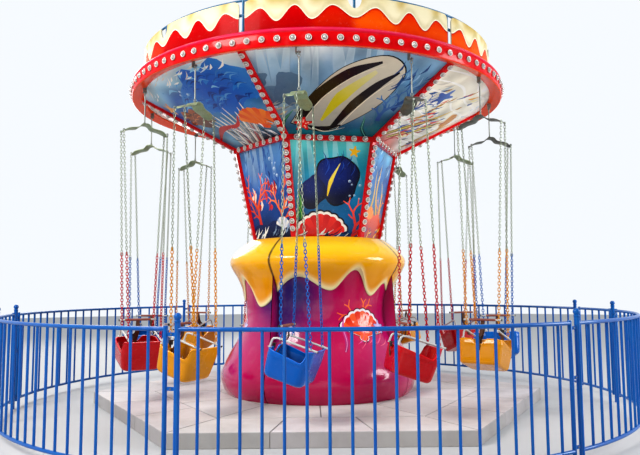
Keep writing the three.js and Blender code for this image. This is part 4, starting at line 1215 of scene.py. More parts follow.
class RIDE_OT_stage(RideOperator, bpy.types.Operator):
    """Lay the floor, light the scene and place the camera of the photographed view"""

    bl_idname = "ride.stage"
    bl_label = "Stage and camera"

    def execute(self, context):
        floor = Skin()
        floor.lathe([(30.0, 0.0), (0.0, 0.0)], 96)
        ground = floor.build("studio_floor", [finish(pale_floor)])
        ground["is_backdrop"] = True

        camera = bpy.data.objects.new("camera", bpy.data.cameras.new("camera"))
        context.collection.objects.link(camera)
        camera.data.sensor_width = 36
        camera.data.lens = 36.88
        camera.data.clip_end = 100
        pitch, yaw, roll = math.radians(5.33), math.radians(0.21), math.radians(-0.33)
        ahead = Vector((math.sin(yaw) * math.cos(pitch), math.cos(yaw) * math.cos(pitch), math.sin(pitch)))
        aside = Vector((math.cos(yaw), -math.sin(yaw), 0))
        over = aside.cross(ahead)
        right = aside * math.cos(roll) + over * math.sin(roll)
        up = over * math.cos(roll) - aside * math.sin(roll)
        turn = Matrix((right, up, -ahead)).transposed().to_4x4()
        camera.matrix_world = Matrix.Translation((0, -8.6, 1.442)) @ turn
        context.scene.camera = camera

        lamps = (
            ("key", (-7.5, -8.0, 8.5), (0, 0, 2.2), 5.0, 1200, (1.0, 0.98, 0.95)),
            ("fill", (11.0, -3.0, 4.0), (1.5, 0, 1.6), 5.0, 800, (0.97, 0.98, 1.0)),
            ("back", (-5.0, 9.5, 7.5), (0, 0, 2.5), 7.0, 500, (1.0, 0.98, 0.95)),
            ("bounce", (0.0, -7.5, 0.4), (0, 0, 3.4), 6.0, 90, (1.0, 0.98, 0.95)),
        )
        for name, spot, aim, size, power, colour in lamps:
            light = bpy.data.lights.new(name, "AREA")
            light.shape, light.size, light.energy, light.color = "DISK", size, power, colour
            lamp = bpy.data.objects.new(name, light)
            lamp.location = spot
            lamp.rotation_euler = (Vector(aim) - Vector(spot)).to_track_quat("-Z", "Y").to_euler()
            lamp.visible_camera = False
            context.collection.objects.link(lamp)
        world = bpy.data.worlds.new("studio")
        world.use_nodes = True
        sky = Graph(world.node_tree)
        way = sky.node("ShaderNodeTexCoord", out="Generated")
        bright_side = {0: way, 1: (-0.25, 0.75, 0.6)}
        slope = sky.node("ShaderNodeVectorMath", {"operation": "DOT_PRODUCT"}, bright_side, 1)
        stops = (0.0, (0.1, 0.12, 0.12)), (0.45, (0.3, 0.33, 0.34)), (0.62, (0.78, 0.82, 0.88))
        shade = sky.ramp(slope * 0.5 + 0.5, *stops)
        seen = sky.node("ShaderNodeLightPath", out="Is Camera Ray")
        shade = sky.mixed(seen, shade, (0.82, 0.85, 0.88))
        sky.tree.links.new(shade.socket, world.node_tree.nodes["Background"].inputs["Color"])
        world.node_tree.nodes["Background"].inputs["Strength"].default_value = 0.95
        context.scene.world = world
        context.scene.view_settings.view_transform = "Standard"
        context.scene.view_settings.look = "Medium High Contrast"
        return {"FINISHED"}


class RIDE_OT_plinth(RideOperator, bpy.types.Operator):
    """Lay the six-sided plinth in sawn slabs with open joints"""

    bl_idname = "ride.plinth"
    bl_label = "Plinth"

    radius, top, turn = 2.876, 0.146, -29.2

    def execute(self, context):
        rng = np.random.default_rng(4)
        joint = size_of("slab_joint") / 2
        tone = np.array(colour_of("stone"))
        skin = Skin()
        core = around(self.turn + 60 * np.arange(6), self.radius - 0.01, 0)[:, :2]
        # The core, seen through the open joints, is painted at 0.3 of the stone's tone as painted shade.
        skin.slab(core, 0.002, self.top - 0.012, 0, tone * 0.3)
        for side in range(6):
            corners = around(self.turn + 60 * (side + np.arange(2)), self.radius, 0)[:, :2]
            for low, high, parts in ((0.0, 0.45, 1), (0.45, 0.73, 2), (0.73, 1.0, 3)):
                cuts = np.linspace(0, 1, parts + 1)
                for a, b in zip(cuts, cuts[1:]):
                    near = [corners[0] + (corners[1] - corners[0]) * s for s in (a, b)]
                    shape = np.array([near[0] * low, near[0] * high, near[1] * high, near[1] * low])
                    if low == 0:
                        shape = shape[[0, 1, 2]]
                    centre = shape.mean(0)
                    if np.cross(shape[1] - shape[0], shape[2] - shape[1]) < 0:
                        shape = shape[::-1]
                    whole = inset(shape, joint)
                    # An outer slab reaches the plinth's own face.
                    if high == 1.0:
                        whole = self.pushed(whole, corners, joint)
                    shade = tone * rng.uniform(0.9, 1.06) * (1 + rng.uniform(-0.015, 0.015, 3))
                    low_face = 0.0 if high == 1.0 else 0.06
                    # The slabs' sides, at the plinth's face and in the open joints, are painted darker than
                    # the top as painted shade.
                    skin.slab(whole, low_face, self.top, 0.005, shade, side=0.6)
        piece = skin.build("plinth_slabs", [finish(stone)])
        hand_over(piece, "ground", "stone_slab", "plinth")
        return {"FINISHED"}

    def pushed(self, shape, corners, joint):
        """Outer slab whose free edge isn't drawn back."""
        along = (corners[1] - corners[0]) / np.linalg.norm(corners[1] - corners[0])
        out = np.array([along[1], -along[0]])
        reach = corners[0] @ out
        moved = shape.copy()
        for i, point in enumerate(shape):
            if reach - point @ out < joint * 3:
                moved[i] = point + out * (reach - point @ out)
        return moved


def shell_colours(points, under=None):
    """Crimson moulding with a painted purple sheen, a painted highlight on the right, an indigo print under
    the left arch and a deeper foot.
    """
    angle, z = np.degrees(points[:, 0]), points[:, 1]
    base = np.broadcast_to(np.array(colour_of("shell")), (len(points), 3)).copy()

    def blend(code, cover):
        cover = np.clip(cover, 0, 1)[:, None]
        base[:] = base + (np.array(tint(code)) - base) * cover

    def patch(at, level, wide, tall, power=2.0):
        turn = (angle - at + 180) % 360 - 180
        return np.exp(-((np.abs(turn / wide) ** power) + np.abs((z - level) / tall) ** power))

    blend("a00c44", 0.6 * np.exp(-(((z - 0.3) / 0.28) ** 2)))
    # A lighter magenta patch on the right is a painted highlight.
    blend("c41258", 0.5 * patch(28, 1.05, 22, 0.5))
    for turn in (0, 120, 240):
        # The purple and pink patches low on the moulding are painted sheen.
        blend("a81a78", 0.35 * patch(turn - 62, 0.75, 22, 0.5))
        blend("b81e6e", 0.35 * patch(turn + 48, 0.62, 26, 0.26))
        blend("5a1270", 0.75 * patch(turn - 26, 1.2, 26, 0.38))
        blend("261a5e", 1.1 * patch(turn - 17, 1.42, 20, 0.3))
        blend("2a1c66", 0.9 * patch(turn - 40, 1.32, 12, 0.16))
        blend("301a62", 0.8 * patch(turn - 24, 1.12, 9, 0.26))
    return base


def warm_patch(code, strong, centre, wide, tall):
    """See-through paint that fades out from its centre."""
    colour = np.array(tint(code))

    def paint(points, under):
        away = (points - centre) / (wide, tall)
        return under + (colour - under) * (strong * np.exp(-(away**2).sum(1)))[:, None]

    return paint


def shell_motifs(rng):
    """Generic reef pictures on the moulding: coral, starfish and a fan shell."""
    reef = Motifs()
    for turn in (0, 120, 240):
        x = math.radians(turn + 34)
        star = (x + 0.26, 0.98)
        warmth = warm_patch("e8341c", 0.85, (x, 1.04), 0.13, 0.17)
        reef.add(oval(x, 1.04, 0.2, 0.26, 8, 40, 0.07, 4, turn), warmth)
        reef += coral(x + 0.02, 0.84, 0.52, 92, ("d0281c", "ff7a34"), rng, 3, 0.055)
        reef += scallop(x - 0.02, 0.858, 0.345, 84, "4a0a30", "4a0a30", 9)
        reef += scallop(x - 0.02, 0.866, 0.325, 84, "efe6ea", "efe6ea", 9)
        reef += scallop(x - 0.02, 0.87, 0.295, 84, "dc2c14", "f0602e", 9)
        reef.add(starfish(*star, 0.1, 14), flat("4a1238"))
        reef.add(starfish(*star, 0.09, 14), glow("cfc6ee", "a08ad0", star, 0.1))
        reef += kelp(x - 0.3, 0.72, 0.4, 0.05, ("8a1a5e", "d84a9a", "f0a0c8"), 0.045, 2, turn)
        reef += strokes(x + 0.02, 0.78, 0.16, 0.03, 12, ("7a0f4a", "e0567a", "c84ab0"), rng, 12, 0.02)
    return reef


def shifted(paint, shift):
    """A paint for points that have been moved."""
    return lambda points, under: paint(points - shift, under)


class RIDE_OT_base(RideOperator, bpy.types.Operator):
    """Mould the base housing with its printed reef, and the poured collar over it"""

    bl_idname = "ride.base"
    bl_label = "Base housing and collar"

    # The housing's dome under the collar: [radius, height].
    dome = ((1.044, 1.69), (1.02, 1.74), (0.834, 1.99), (0.0, 1.99))
    # The collar's rolled drip edge: [out from the housing, above the edge, painted shade as a share of the
    # colour].
    drip_roll = (
        (0.0012, 0.03, 1), (0.0012, 0.005, 0.75), (0.005, 0.0005, 1), (0.012, 0.002, 1), (0.0185, 0.01, 1),
    )
    # The collar's mouth: [radius, height, height that its colour is taken at, painted shade as a share of the
    # colour].
    mouth = ((0.866, 2.06, 2.056, 1), (0.853, 2.055, 2.056, 1), (0.851, 1.99, 1.99, 0.5))

    def execute(self, context):
        coat = finish(gel_coat)
        sheet = self.printed_sheet()
        skin = Skin()
        sheet.onto(skin, self.moulded)
        tone = np.array(colour_of("shell"))
        skin.lathe(self.dome, 180, tone)
        # The underside disc is painted at 0.3 of the crimson as painted shade.
        skin.lathe([(0.0, HOUSING[0][1]), HOUSING[0]], 180, tone * 0.3)
        shell = skin.build("base_shell", [coat], 50, weld=0.0004)
        hand_over(shell, "ground", "crimson_shell", "base_housing")
        collar = self.collar(coat)
        hand_over(collar, "ground", "cream_collar", "drip_collar")
        return {"FINISHED"}

    def moulded(self, flat_points):
        """Map from the flat sheet, [angle in radians, height], to the housing's face."""
        angle = np.degrees(flat_points[:, 0])
        radius = housing_radius(flat_points[:, 1]) - seam_depth(angle, 0.344)
        return around(angle, radius, flat_points[:, 1])

    def printed_sheet(self):
        """The housing's print, laid flat from one side of the back to the other. Its background carries
        painted sheen and a painted highlight, and dark strips along the mould seams are painted shade.
        """
        foot, top = HOUSING[0][1], HOUSING[-1][1]
        rows = np.linspace(foot, top, 40)
        side = np.column_stack([np.full(40, math.pi), rows])
        ends = np.radians(np.linspace(-180, 180, 181))
        boundary = np.vstack([
            np.column_stack([ends, np.full(181, foot)]), side[1:-1],
            np.column_stack([ends[::-1], np.full(181, top)]), (side * (-1, 1))[::-1][1:-1],
        ])
        motifs = []
        for outline, paint in shell_motifs(np.random.default_rng(31)):
            for lap in (0, -2 * math.pi):
                shift = np.array([lap, 0])
                if (outline[:, 0] + lap).max() > -math.pi and (outline[:, 0] + lap).min() < math.pi:
                    moved = outline + shift
                    moved[:, 0] = moved[:, 0].clip(-math.pi, math.pi)
                    motifs.append((moved, shifted(paint, shift)))
        creases = []
        for seam in SEAM_ANGLES:
            seam = math.radians((seam + 180) % 360 - 180)
            for off in (-0.006, 0.0, 0.006):
                creases.append(np.column_stack([np.full(40, seam + off), rows]))
            # A dark strip along each mould seam is painted shade in its groove.
            left, right = seam - 0.0045, seam + 0.0045
            strip = np.array([(left, foot), (right, foot), (right, top), (left, top)])
            motifs.append((strip, flat("2a0420")))
        return Drawing(boundary, 0.042, shell_colours, motifs, creases)

    def collar(self, coat):
        """The poured collar: a rolled drip edge, a swelling lip and a mouth that is closed behind. Painted
        shade darkens the roll's underside, the inside of the mouth, the sheet behind the lip and the seams,
        and a painted highlight runs round the top.
        """
        angles = seam_angles(300)
        edge = drip_edge(angles)
        swell = [(0.982, 1.45), (1.040, 1.58), (1.108, 1.69), (1.138, 1.765), (1.118, 1.84), (1.010, 1.955)]
        close = [(housing_radius(z) + 0.014, z) for z in np.linspace(1.19, 1.44, 8)]
        lip = np.vstack([close, curve([*swell, (0.872, 2.06)], 8)])
        gold, amber = np.array(colour_of("collar")), np.array(tint("d98f08"))
        pale, tip = np.array(tint("f4d22c")), np.array(tint("e8e4b0"))
        rows, inks = [], []

        def add(radius, z, ink):
            rows.append(around(angles, radius - seam_depth(angles), z))
            # The ink is darkened along the mould seams as painted shade in their grooves.
            inks.append(ink * (1 - seam_depth(angles, 0.7, 1.7)[:, None].clip(0, 0.85)))

        def ink_at(z):
            past = (z - edge)[:, None]
            shade = amber + (gold - amber) * ((z - 1.45) / 0.3).clip(0, 1)[:, None]
            # A paler band round the top of the swell is a painted highlight.
            shade = shade + (pale - shade) * (0.75 * np.exp(-(((z - 1.93) / 0.1) ** 2)))[:, None]
            streak = 0.5 + 0.5 * np.sin(np.radians(angles) * 9 + z * 3)
            shade = shade + (amber - shade) * (0.35 * streak * ((1.7 - z) / 0.3).clip(0, 1))[:, None]
            return shade + (tip - shade) * np.clip(1 - (past - 0.012) / 0.085, 0, 1) ** 1.3

        skin_at = housing_radius(edge)
        for out, above, shade in self.drip_roll:
            add(skin_at + out, edge + above, ink_at(edge) * shade)
        add(np.interp(edge + 0.028, lip[:, 1], lip[:, 0]) + 0.005, edge + 0.028, ink_at(edge + 0.028))
        start = edge + 0.05
        for share in np.linspace(0, 1, 34):
            z = start + (2.056 - start) * share**1.05
            add(np.interp(z, lip[:, 1], lip[:, 0]), z, ink_at(z))
        for radius, z, level, shade in self.mouth:
            add(radius, z, ink_at(np.full_like(angles, level)) * shade)
        # Behind the lip the sheet runs back down to the start of the rolled edge, painted at half brightness
        # as painted shade.
        for share in (0.35, 0.7):
            z = 1.99 + (edge + 0.03 - 1.99) * share
            behind = np.interp(z, (1.69, 1.99), (1.044, 0.834))
            add(np.where(z > 1.69, behind, housing_radius(z)) + 0.0016, z, ink_at(z) * 0.5)
        skin = Skin()
        skin.grid(np.array(rows), np.array(inks).clip(0, 1), ring=True, closed=True)
        return skin.build("collar_pour", [coat], 60)


def ruled(low_left, low_right, high_at, tall, low_width, high_width):
    """Map from a panel's flat sheet to space: a straight lower edge, and an upper edge by a function."""
    low_left, low_right = np.asarray(low_left), np.asarray(low_right)

    def place(points):
        up = (points[:, 1] / tall).clip(0, 1)
        share = (points[:, 0] / (low_width + (high_width - low_width) * up) + 0.5).clip(0, 1)
        low = low_left + (low_right - low_left) * share[:, None]
        return low + (high_at(share) - low) * up[:, None]

    return place


class RIDE_OT_panels(RideOperator, bpy.types.Operator):
    """Print and hang the waist's six flat panels and the canopy's six flared ones"""

    bl_idname = "ride.panels"
    bl_label = "Printed panels"

    # The sheets are parts of a hexagon, so a straight edge is as wide as its corners are far from the mast.
    foot, knee, rim = 0.812, 1.061, 2.277
    rim_width = 2.307
    waist_tall, canopy_tall = 1.222, 1.292

    def execute(self, context):
        film = finish(print_film)
        for index in range(3):
            rng = np.random.default_rng(50 + index)
            background, motifs = CANOPY_SCENES[index](rng)
            outline = panel_boundary(self.knee, self.rim_width, self.canopy_tall)
            canopy = Drawing(outline, 0.05, background, motifs)
            background, motifs = WAIST_SCENES[index](rng)
            waist = Drawing(panel_boundary(self.foot, self.knee, self.waist_tall), 0.045, background, motifs)
            for side in (index, index + 3):
                start = RIB_TURN + 60 * side
                self.hang("canopy", canopy, side, self.canopy_place(start), np.array((0, 0, 0.018)), film)
                self.hang("waist", waist, side, self.waist_place(start), around(start + 30, -0.0165, 0), film)
        return {"FINISHED"}

    def canopy_place(self, start):
        ends = [around(start + a, self.knee, 3.2403) for a in (0.02, 59.98)]
        top = lambda share: around(start + 0.02 + 59.96 * share, self.rim, 3.8825)
        return ruled(*ends, top, self.canopy_tall, self.knee, self.rim_width)

    def waist_place(self, start):
        low = [around(start + a, self.foot, 2.0423) for a in (0.03, 59.97)]
        high = [around(start + a, self.knee, 3.2395) for a in (0.03, 59.97)]
        top = lambda share: high[0] + (high[1] - high[0]) * share[:, None]
        return ruled(*low, top, self.waist_tall, self.foot, self.knee)

    def hang(self, kind, sheet, side, front, thick, film):
        skin = Skin()
        sheet.onto(skin, front, lambda points: front(points) + thick)
        piece = skin.build(f"{kind}_print_{side + 1}", [film])
        hand_over(piece, "rotor", "printed_panel", f"{kind}_panel_{side + 1}")


class RIDE_OT_ribs(RideOperator, bpy.types.Operator):
    """Run the red light ribs up the waist, round the knee and out to the rim, with their lamps"""

    bl_idname = "ride.ribs"
    bl_label = "Light ribs"

    half = 0.036
    # How far a rib's edges lie behind its middle, as a share of its half width: on the waist, and at the rim.
    waist_wing, rim_wing = 0.5774, 0.05
    # The knee rail's outline: [distance from the mast, height].
    rail = (
        (1.0522, 3.1965), (1.102, 3.1965), (1.106, 3.2005), (1.106, 3.252), (1.102, 3.256), (1.0622, 3.2398),
    )

    def execute(self, context):
        red = finish(gloss_paint, "rim", colour_of("red"), tint("b80a14"))
        skin = Skin()
        spots, facings = [], []
        for corner in range(SIDES):
            angle = RIB_TURN + 60 * corner
            self.rib(skin, angle, (0.8128, 2.0405), (1.0618, 3.239), 0.024, self.waist_wing, self.waist_wing)
            self.rib(skin, angle, (1.0628, 3.2405), (2.236, 3.8604), 0.072, self.waist_wing, self.rim_wing)
            # Lamps on the waist rib, then on the canopy rib.
            for count, a, b in ((12, (0.862, 2.16), (1.077, 3.13)), (11, (1.235, 3.29), (2.235, 3.8185))):
                way = np.array(b) - np.array(a)
                out = np.array([way[1], -way[0]]) / np.linalg.norm(way)
                for share in np.linspace(0, 1, count):
                    r, z = np.array(a) + way * share
                    spots.append(around(angle, r, z))
                    facings.append(around(angle, out[0], out[1]))
            # The knee rail is straight between two corners, with lamps on its outer face.
            rows = [[around(angle + a, r, z) for a in (0, 60)] for r, z in self.rail]
            skin.grid(rows, closed=True)
            ends = [around(angle + a, 1.106, 3.226) for a in (0, 60)]
            for share in (np.arange(7) + 1) / 8:
                spots.append(ends[0] + (ends[1] - ends[0]) * share)
                facings.append(around(angle + 30, 1.0, -0.15))
            spots.append(around(angle, 1.128, 3.226))
            facings.append(around(angle, 1.0, -0.25))
        ribs = skin.build("light_ribs", [red], 30)
        hand_over(ribs, "rotor", "red_paint", "light_rib_frame")
        lamps = grown("rib_lamps", lamp_tree, lamp_values(), spots, facings)
        hand_over(lamps, "rotor", "red_paint")
        return {"FINISHED"}

    def section(self, deep, wing):
        """Rounded section of a rib: [aside, outwards], anticlockwise seen along the rib."""
        half = self.half
        face = [(half, deep - 0.004), (half - 0.008, deep), (0.008 - half, deep), (-half, deep - 0.004)]
        return eased([(half, -wing), *face, (-half, -wing), (0, 0)], 0.004, 2, closed=True)

    def rib(self, skin, angle, low, high, deep, low_wing, high_wing):
        """A rib from its lower end to its upper one. Its back follows the two panels that it covers."""
        rows = []
        for share in np.linspace(0, 1, 9):
            r, z = np.array(low) + (np.array(high) - low) * share
            wing = self.half * (low_wing + (high_wing - low_wing) * share)
            section = self.section(deep, wing)
            rows.append([around(angle, r + out, z) + around(angle + 90, aside, 0) for aside, out in section])
        skin.bar(np.array(rows)[:, ::-1])


def lamp_values():
    return {
        "Ring Radius": size_of("lamp_ring"), "Glass Radius": size_of("lamp_glass"),
        "Ring Finish": finish(lamp_ring_paint), "Glass Finish": finish(lamp_glass),
    }


def bolts(name, points, facing, radius, tall):
    values = {"Head Radius": radius, "Head Height": tall, "Finish": finish(zinc, "bolt", tint("9a9c98"))}
    return grown(name, bolt_tree, values, points, facing)


class RIDE_OT_rim(RideOperator, bpy.types.Operator):
    """Turn the red rim with its rounded ledge, its lamps and the pegs under it"""

    bl_idname = "ride.rim"
    bl_label = "Light rim"

    lamps = 96

    def execute(self, context):
        face = [(2.24, 3.8624), (2.24, 3.851), (2.374, 3.8137), (2.384, 3.822), (2.388, 3.89), (2.386, 3.944)]
        groove = [(2.380, 3.950), (2.3785, 3.956)]
        ledge = [(2.383, 3.962), (2.386, 3.974), (2.374, 3.994), (2.345, 4.015), (2.305, 4.033)]
        back = [(2.262, 4.050), (2.208, 4.050), (2.208, 3.935), (2.282, 3.9125), (2.282, 3.8846), face[0]]
        ledge = curve([*ledge, (2.262, 4.046)], 5)
        profile = np.vstack([eased(face, 0.006, 4), groove, ledge, eased(back, 0.004, 2)])[:-1]
        r, z = profile.T[..., None]
        red, under, sky_reflection_rose = np.array(colour_of("red")), np.array(tint("f44a06")), np.array(tint("cf1a4c"))
        inks = red + (under - red) * ((z < 3.866) & (r < 2.38))
        # The ledge's top is turned rose as a painted sky reflection.
        inks = inks + (sky_reflection_rose - inks) * ((z - 3.952) / 0.03).clip(0, 1)
        skin = Skin()
        skin.lathe(profile, 192, inks, closed=True)
        rim = skin.build("rim_band", [finish(gel_coat, "rim", 0.35)], 40)
        hand_over(rim, "rotor", "red_paint", "light_rim")

        angles = (np.arange(self.lamps) + 0.5) * 360 / self.lamps
        spots, facings = around(angles, 2.386, 3.891), around(angles, 1, 0)
        lamps = grown("rim_lamps", lamp_tree, lamp_values(), spots, facings)
        hand_over(lamps, "rotor", "red_paint")

        pegs = Skin()
        for i in range(CHAIRS):
            angle = CHAIR_TURN + 30 * i
            place = lambda points, angle=angle: turned_by(np.asarray(points) + (0, -PIN[0], PIN[1]), angle)
            pegs.tube(place([(-0.028, 0, 0), (0.014, 0, 0)]), 0.009, 16)
            pegs.tube(place([(0.014, 0, 0), (0.0185, 0, 0)]), 0.0125, 16)
            ear = [(-0.022, -0.016), (0.022, -0.016), (0.022, 0.0625), (-0.022, 0.052)]
            ear = eased(ear, 0.006, 4, closed=True)
            pegs.slab(ear, -0.034, -0.022, 0.002, place=lambda rows, place=place: place(rows[..., [2, 0, 1]]))
        brackets = pegs.build("chair_pegs", [finish(zinc, "peg", tint("8d928c"))])
        hand_over(brackets, "rotor", "red_paint")
        return {"FINISHED"}


# Cream drips over a fascia board: [degrees from the board's middle, height of the edge].
BOARD_DRIPS = (
    (-29.4, 4.2), (-24.8, 4.283), (-20.4, 4.135), (-15.6, 4.29), (-11.2, 4.14), (-5.8, 4.285), (0.0, 4.165),
    (5.8, 4.285), (11.2, 4.14), (15.6, 4.29), (20.4, 4.135), (24.8, 4.283), (29.4, 4.2),
)
# The six peaks' colours on the first, second and third board, and again on the boards opposite.
PEAKS = (
    ("d0101a", "d40e18", "e0300f", "ee6212", "e8480f", "e8500f"),
    ("ea5a10", "ee6a14", "ee6212", "ee5a12", "ea4c10", "e03a12"),
    ("c80c18", "ee5a12", "e23c12", "d21018", "ce0c18", "ce0c18"),
)


class RIDE_OT_fascia(RideOperator, bpy.types.Operator):
    """Cut and paint the six curved boards with cream drips over red and orange peaks"""

    bl_idname = "ride.fascia"
    bl_label = "Fascia boards"

    radius, inner_radius = 2.244, 2.230
    half = math.radians(58.3) / 2 * radius
    foot, shoulder, top = 4.0503, 4.2, 4.388
    notch_half, notch_deep, corner = 0.076, 0.125, 0.07

    def execute(self, context):
        boundary = self.boundary()
        angles = np.linspace(-29.15, 29.15, 161)
        edge = np.column_stack([np.radians(angles) * self.radius, waves_through(BOARD_DRIPS, angles)])
        low = np.array([(-self.half, self.foot - 0.01), (self.half, self.foot - 0.01)])
        sheets = []
        for codes in PEAKS:
            layers = (0.009, flat("f6f3e2")), (-0.001, flat("7a0a16")), (-0.0045, self.fire(codes))
            motifs = [(np.vstack([low, (edge + (0, lift))[::-1]]), paint) for lift, paint in layers]
            sheets.append(Drawing(boundary, 0.03, self.cream, motifs))
        varnished = finish(print_film, "board", 0.1)
        for number in range(SIDES):
            middle = RIB_TURN + 60 * number + 30
            skin = Skin()
            places = (self.place(middle, radius) for radius in (self.radius, self.inner_radius))
            sheets[number % 3].onto(skin, *places, tint("cfcbb4"))
            board = skin.build(f"fascia_paint_{number + 1}", [varnished])
            hand_over(board, "rotor", "fascia_paint", f"fascia_board_{number + 1}")
        angles = [RIB_TURN + 60 * n + 30 + a for n in range(SIDES) for a in (-27, -18, -9, 9, 18, 27)]
        spots = around(angles, 2.2295, 4.25)
        clips = bolts("board_bolts", spots, -spots * (1, 1, 0), 0.007, 0.005)
        hand_over(clips, "rotor", "fascia_paint")
        return {"FINISHED"}

    def place(self, middle, radius):
        return lambda points: around(middle + np.degrees(points[:, 0] / self.radius), radius, points[:, 1])

    def boundary(self):
        """A board's outline laid flat, with its rounded corners and its notch."""
        half, top = self.half, self.top
        foot = np.column_stack([np.linspace(-half, half, 60), np.full(60, self.foot)])
        side = np.column_stack([np.full(5, half), np.linspace(self.foot, self.shoulder, 6)[1:]])
        corner = eased([(half, self.shoulder), (half, top), (half - 0.2, top)], self.corner, 8)[1:-1]
        level = np.column_stack([np.linspace(corner[-1][0], self.notch_half, 12)[1:-1], np.full(10, top)])
        turn = np.linspace(0, math.pi, 17)
        notch = np.column_stack([self.notch_half * np.cos(turn), top - self.notch_deep * np.sin(turn)])
        right = np.vstack([side, corner, level])
        return np.vstack([foot, right, notch, (right * (-1, 1))[::-1]])

    def fire(self, codes):
        """Each peak's paint, with sprayed joins, a lighter heart and a red edge."""
        joins = np.array([-20.4, -11.2, 0.0, 11.2, 20.4])
        stops = np.column_stack([joins - 1.5, joins + 1.5]).ravel()
        colours = np.repeat([tint(code) for code in codes], 2, axis=0)[1:-1]
        red, deep, amber = (np.array(tint(code)) for code in ("cc0a14", "9c0818", "f29a1e"))

        def paint(points, under):
            at = np.degrees(points[:, 0] / self.radius)
            base = np.column_stack([np.interp(at, stops, column) for column in colours.T])
            warm = ((base[:, 1:2] - 0.01) / 0.08).clip(0, 1)
            rise = ((points[:, 1] - self.foot) / 0.22).clip(0, 1)[:, None]
            base = base + (amber - base) * (warm * 0.35 * (1 - np.abs(rise - 0.4) * 1.6).clip(0, 1))
            base = base + (deep - base) * ((1 - warm) * 0.4 * (1 - rise))
            gap = (waves_through(BOARD_DRIPS, at) - points[:, 1])[:, None]
            return base + (red - base) * (0.85 * np.exp(-((gap / 0.018) ** 2)))

        return paint

    def cream(self, points, under):
        """Cream drips with lime streaks near the top and a grey shade inside their edge."""
        pale, lime, grey = (np.array(tint(code)) for code in ("f0ead0", "c4a83a", "b3ab78"))
        at = np.degrees(points[:, 0] / self.radius)
        high = ((points[:, 1] - 4.25) / 0.15).clip(0, 1)
        streak = 0.55 + 0.45 * np.sin(np.radians(at) * 34 + 1.5 * np.sin(at * 0.5))
        base = pale + (lime - pale) * (0.85 * high * streak)[:, None]
        past = points[:, 1] - waves_through(BOARD_DRIPS, at)
        return base + (grey - base) * (0.3 * np.exp(-(((past - 0.035) / 0.03) ** 2)))[:, None]


class RIDE_OT_roof(RideOperator, bpy.types.Operator):
    """Bend and weld the blue pipe roof frame, and set the mast and turntable below it"""

    bl_idname = "ride.roof"
    bl_label = "Roof frame, mast and turntable"

    arms, arm_height, hoop = 12, 4.078, 2.207

    def execute(self, context):
        blue = finish(gloss_paint, "pipe", tint("1c5a86"), tint("3f87a8"), 0.28, 0.01)
        skin = Skin()
        turn = np.linspace(0, 360, 144, endpoint=False)
        for level, pipe in ((4.25, 0.0155), (4.4075, 0.0118)):
            skin.tube(around(turn, self.hoop, level), pipe, 12, closed=True)
        hub = eased([(0.116, 3.9), (0.178, 3.9), (0.178, 4.14), (0.116, 4.14)], 0.006, 3, closed=True)
        skin.lathe(hub, 48, closed=True)
        spots, facings = [], []
        for i in range(self.arms):
            angle = RIB_TURN + 30 * i
            # The arm, the post behind the boards, and a gusset and a collar where the arm meets the hub.
            for (r0, z0), (r1, z1), pipe, sides in (
                ((0.17, self.arm_height), (2.204, self.arm_height), 0.0245, 16),
                ((self.hoop, 4.0505), (self.hoop, 4.405), 0.0145, 12),
                ((0.176, self.arm_height), (0.19, self.arm_height), 0.034, 16),
            ):
                skin.tube([around(angle, r0, z0), around(angle, r1, z1)], pipe, sides)
            gusset = [(0.177, 3.93), (0.34, 4.056), (0.177, 4.056)]
            skin.slab(gusset, -0.004, 0.004, 0.001, place=self.upright(angle))
            for off in (12, 18):
                spots.append(around(angle + off, 0.178, 3.925))
                facings.append(around(angle + off, 1, 0))
        hand_over(skin.build("roof_pipes", [blue]), "rotor", "blue_pipe", "roof_frame")
        hand_over(bolts("hub_bolts", spots, facings, 0.008, 0.007), "rotor", "blue_pipe")

        grey = finish(gloss_paint, "mast", tint("5c6266"), tint("737a7c"), 0.3, 0.015)
        mast = Skin()
        column = [(0.19, 1.9903), (0.19, 1.9997), (0.11, 1.9997), (0.11, 4.17), (0.15, 4.17), (0.15, 4.195)]
        column = eased([*column, (0.07, 4.21)], 0.003, 2)
        mast.lathe([(0, 1.9903), *column, (0, 4.21)], 48)
        hand_over(mast.build("mast_column", [grey]), "ground", "mast_steel", "centre_mast")
        table = Skin()
        disc = [(0.116, 2.0), (0.8, 2.0), (0.8, 2.04), (0.176, 2.04), (0.176, 2.16), (0.116, 2.16)]
        table.lathe(eased(disc, 0.004, 2, closed=True), 64, closed=True)
        hand_over(table.build("turntable_disc", [grey]), "rotor", "mast_steel", "turntable")
        ring = np.arange(24) * 15.0
        nuts = bolts("turntable_bolts", around(ring, 0.24, 2.04), [(0, 0, 1)] * 24, 0.012, 0.012)
        hand_over(nuts, "rotor", "mast_steel")
        return {"FINISHED"}

    def upright(self, angle):
        """Map that stands a plate on edge along an arm."""
        return lambda rows: turned_by(np.stack([rows[..., 2], -rows[..., 0], rows[..., 1]], -1), angle)


# Chairs are made at their pin: -X is the way the rider faces and -Y is outwards.

SEAT_TILT = math.radians(18)
RAIL_LINE = -2.855
TUBE_OUT, CHAIN_OUT = 0.18, 0.256
CHAIN_TOP = -0.512
CHAIN_ENDS = ((-0.062, -0.135), (0.062, 0.18))
LAP_BAR = -2.696


def seat_point(along, outwards, up):
    """Points in the tilted frame of the seat's rails."""
    along, outwards, up = np.broadcast_arrays(along, outwards, up)
    c, s = math.cos(SEAT_TILT), math.sin(SEAT_TILT)
    return np.stack([along * c + up * s, -outwards, RAIL_LINE - along * s + up * c], -1)


def chair_place(index, twisted=True):
    """Map from a chair's own frame to the ride's."""
    angle = CHAIR_TURN + 30 * index
    pin = around(angle, *PIN)
    turn = angle + (CHAIR_TWISTS[index] if twisted else 0)
    return lambda points: turned_by(points, turn) + pin


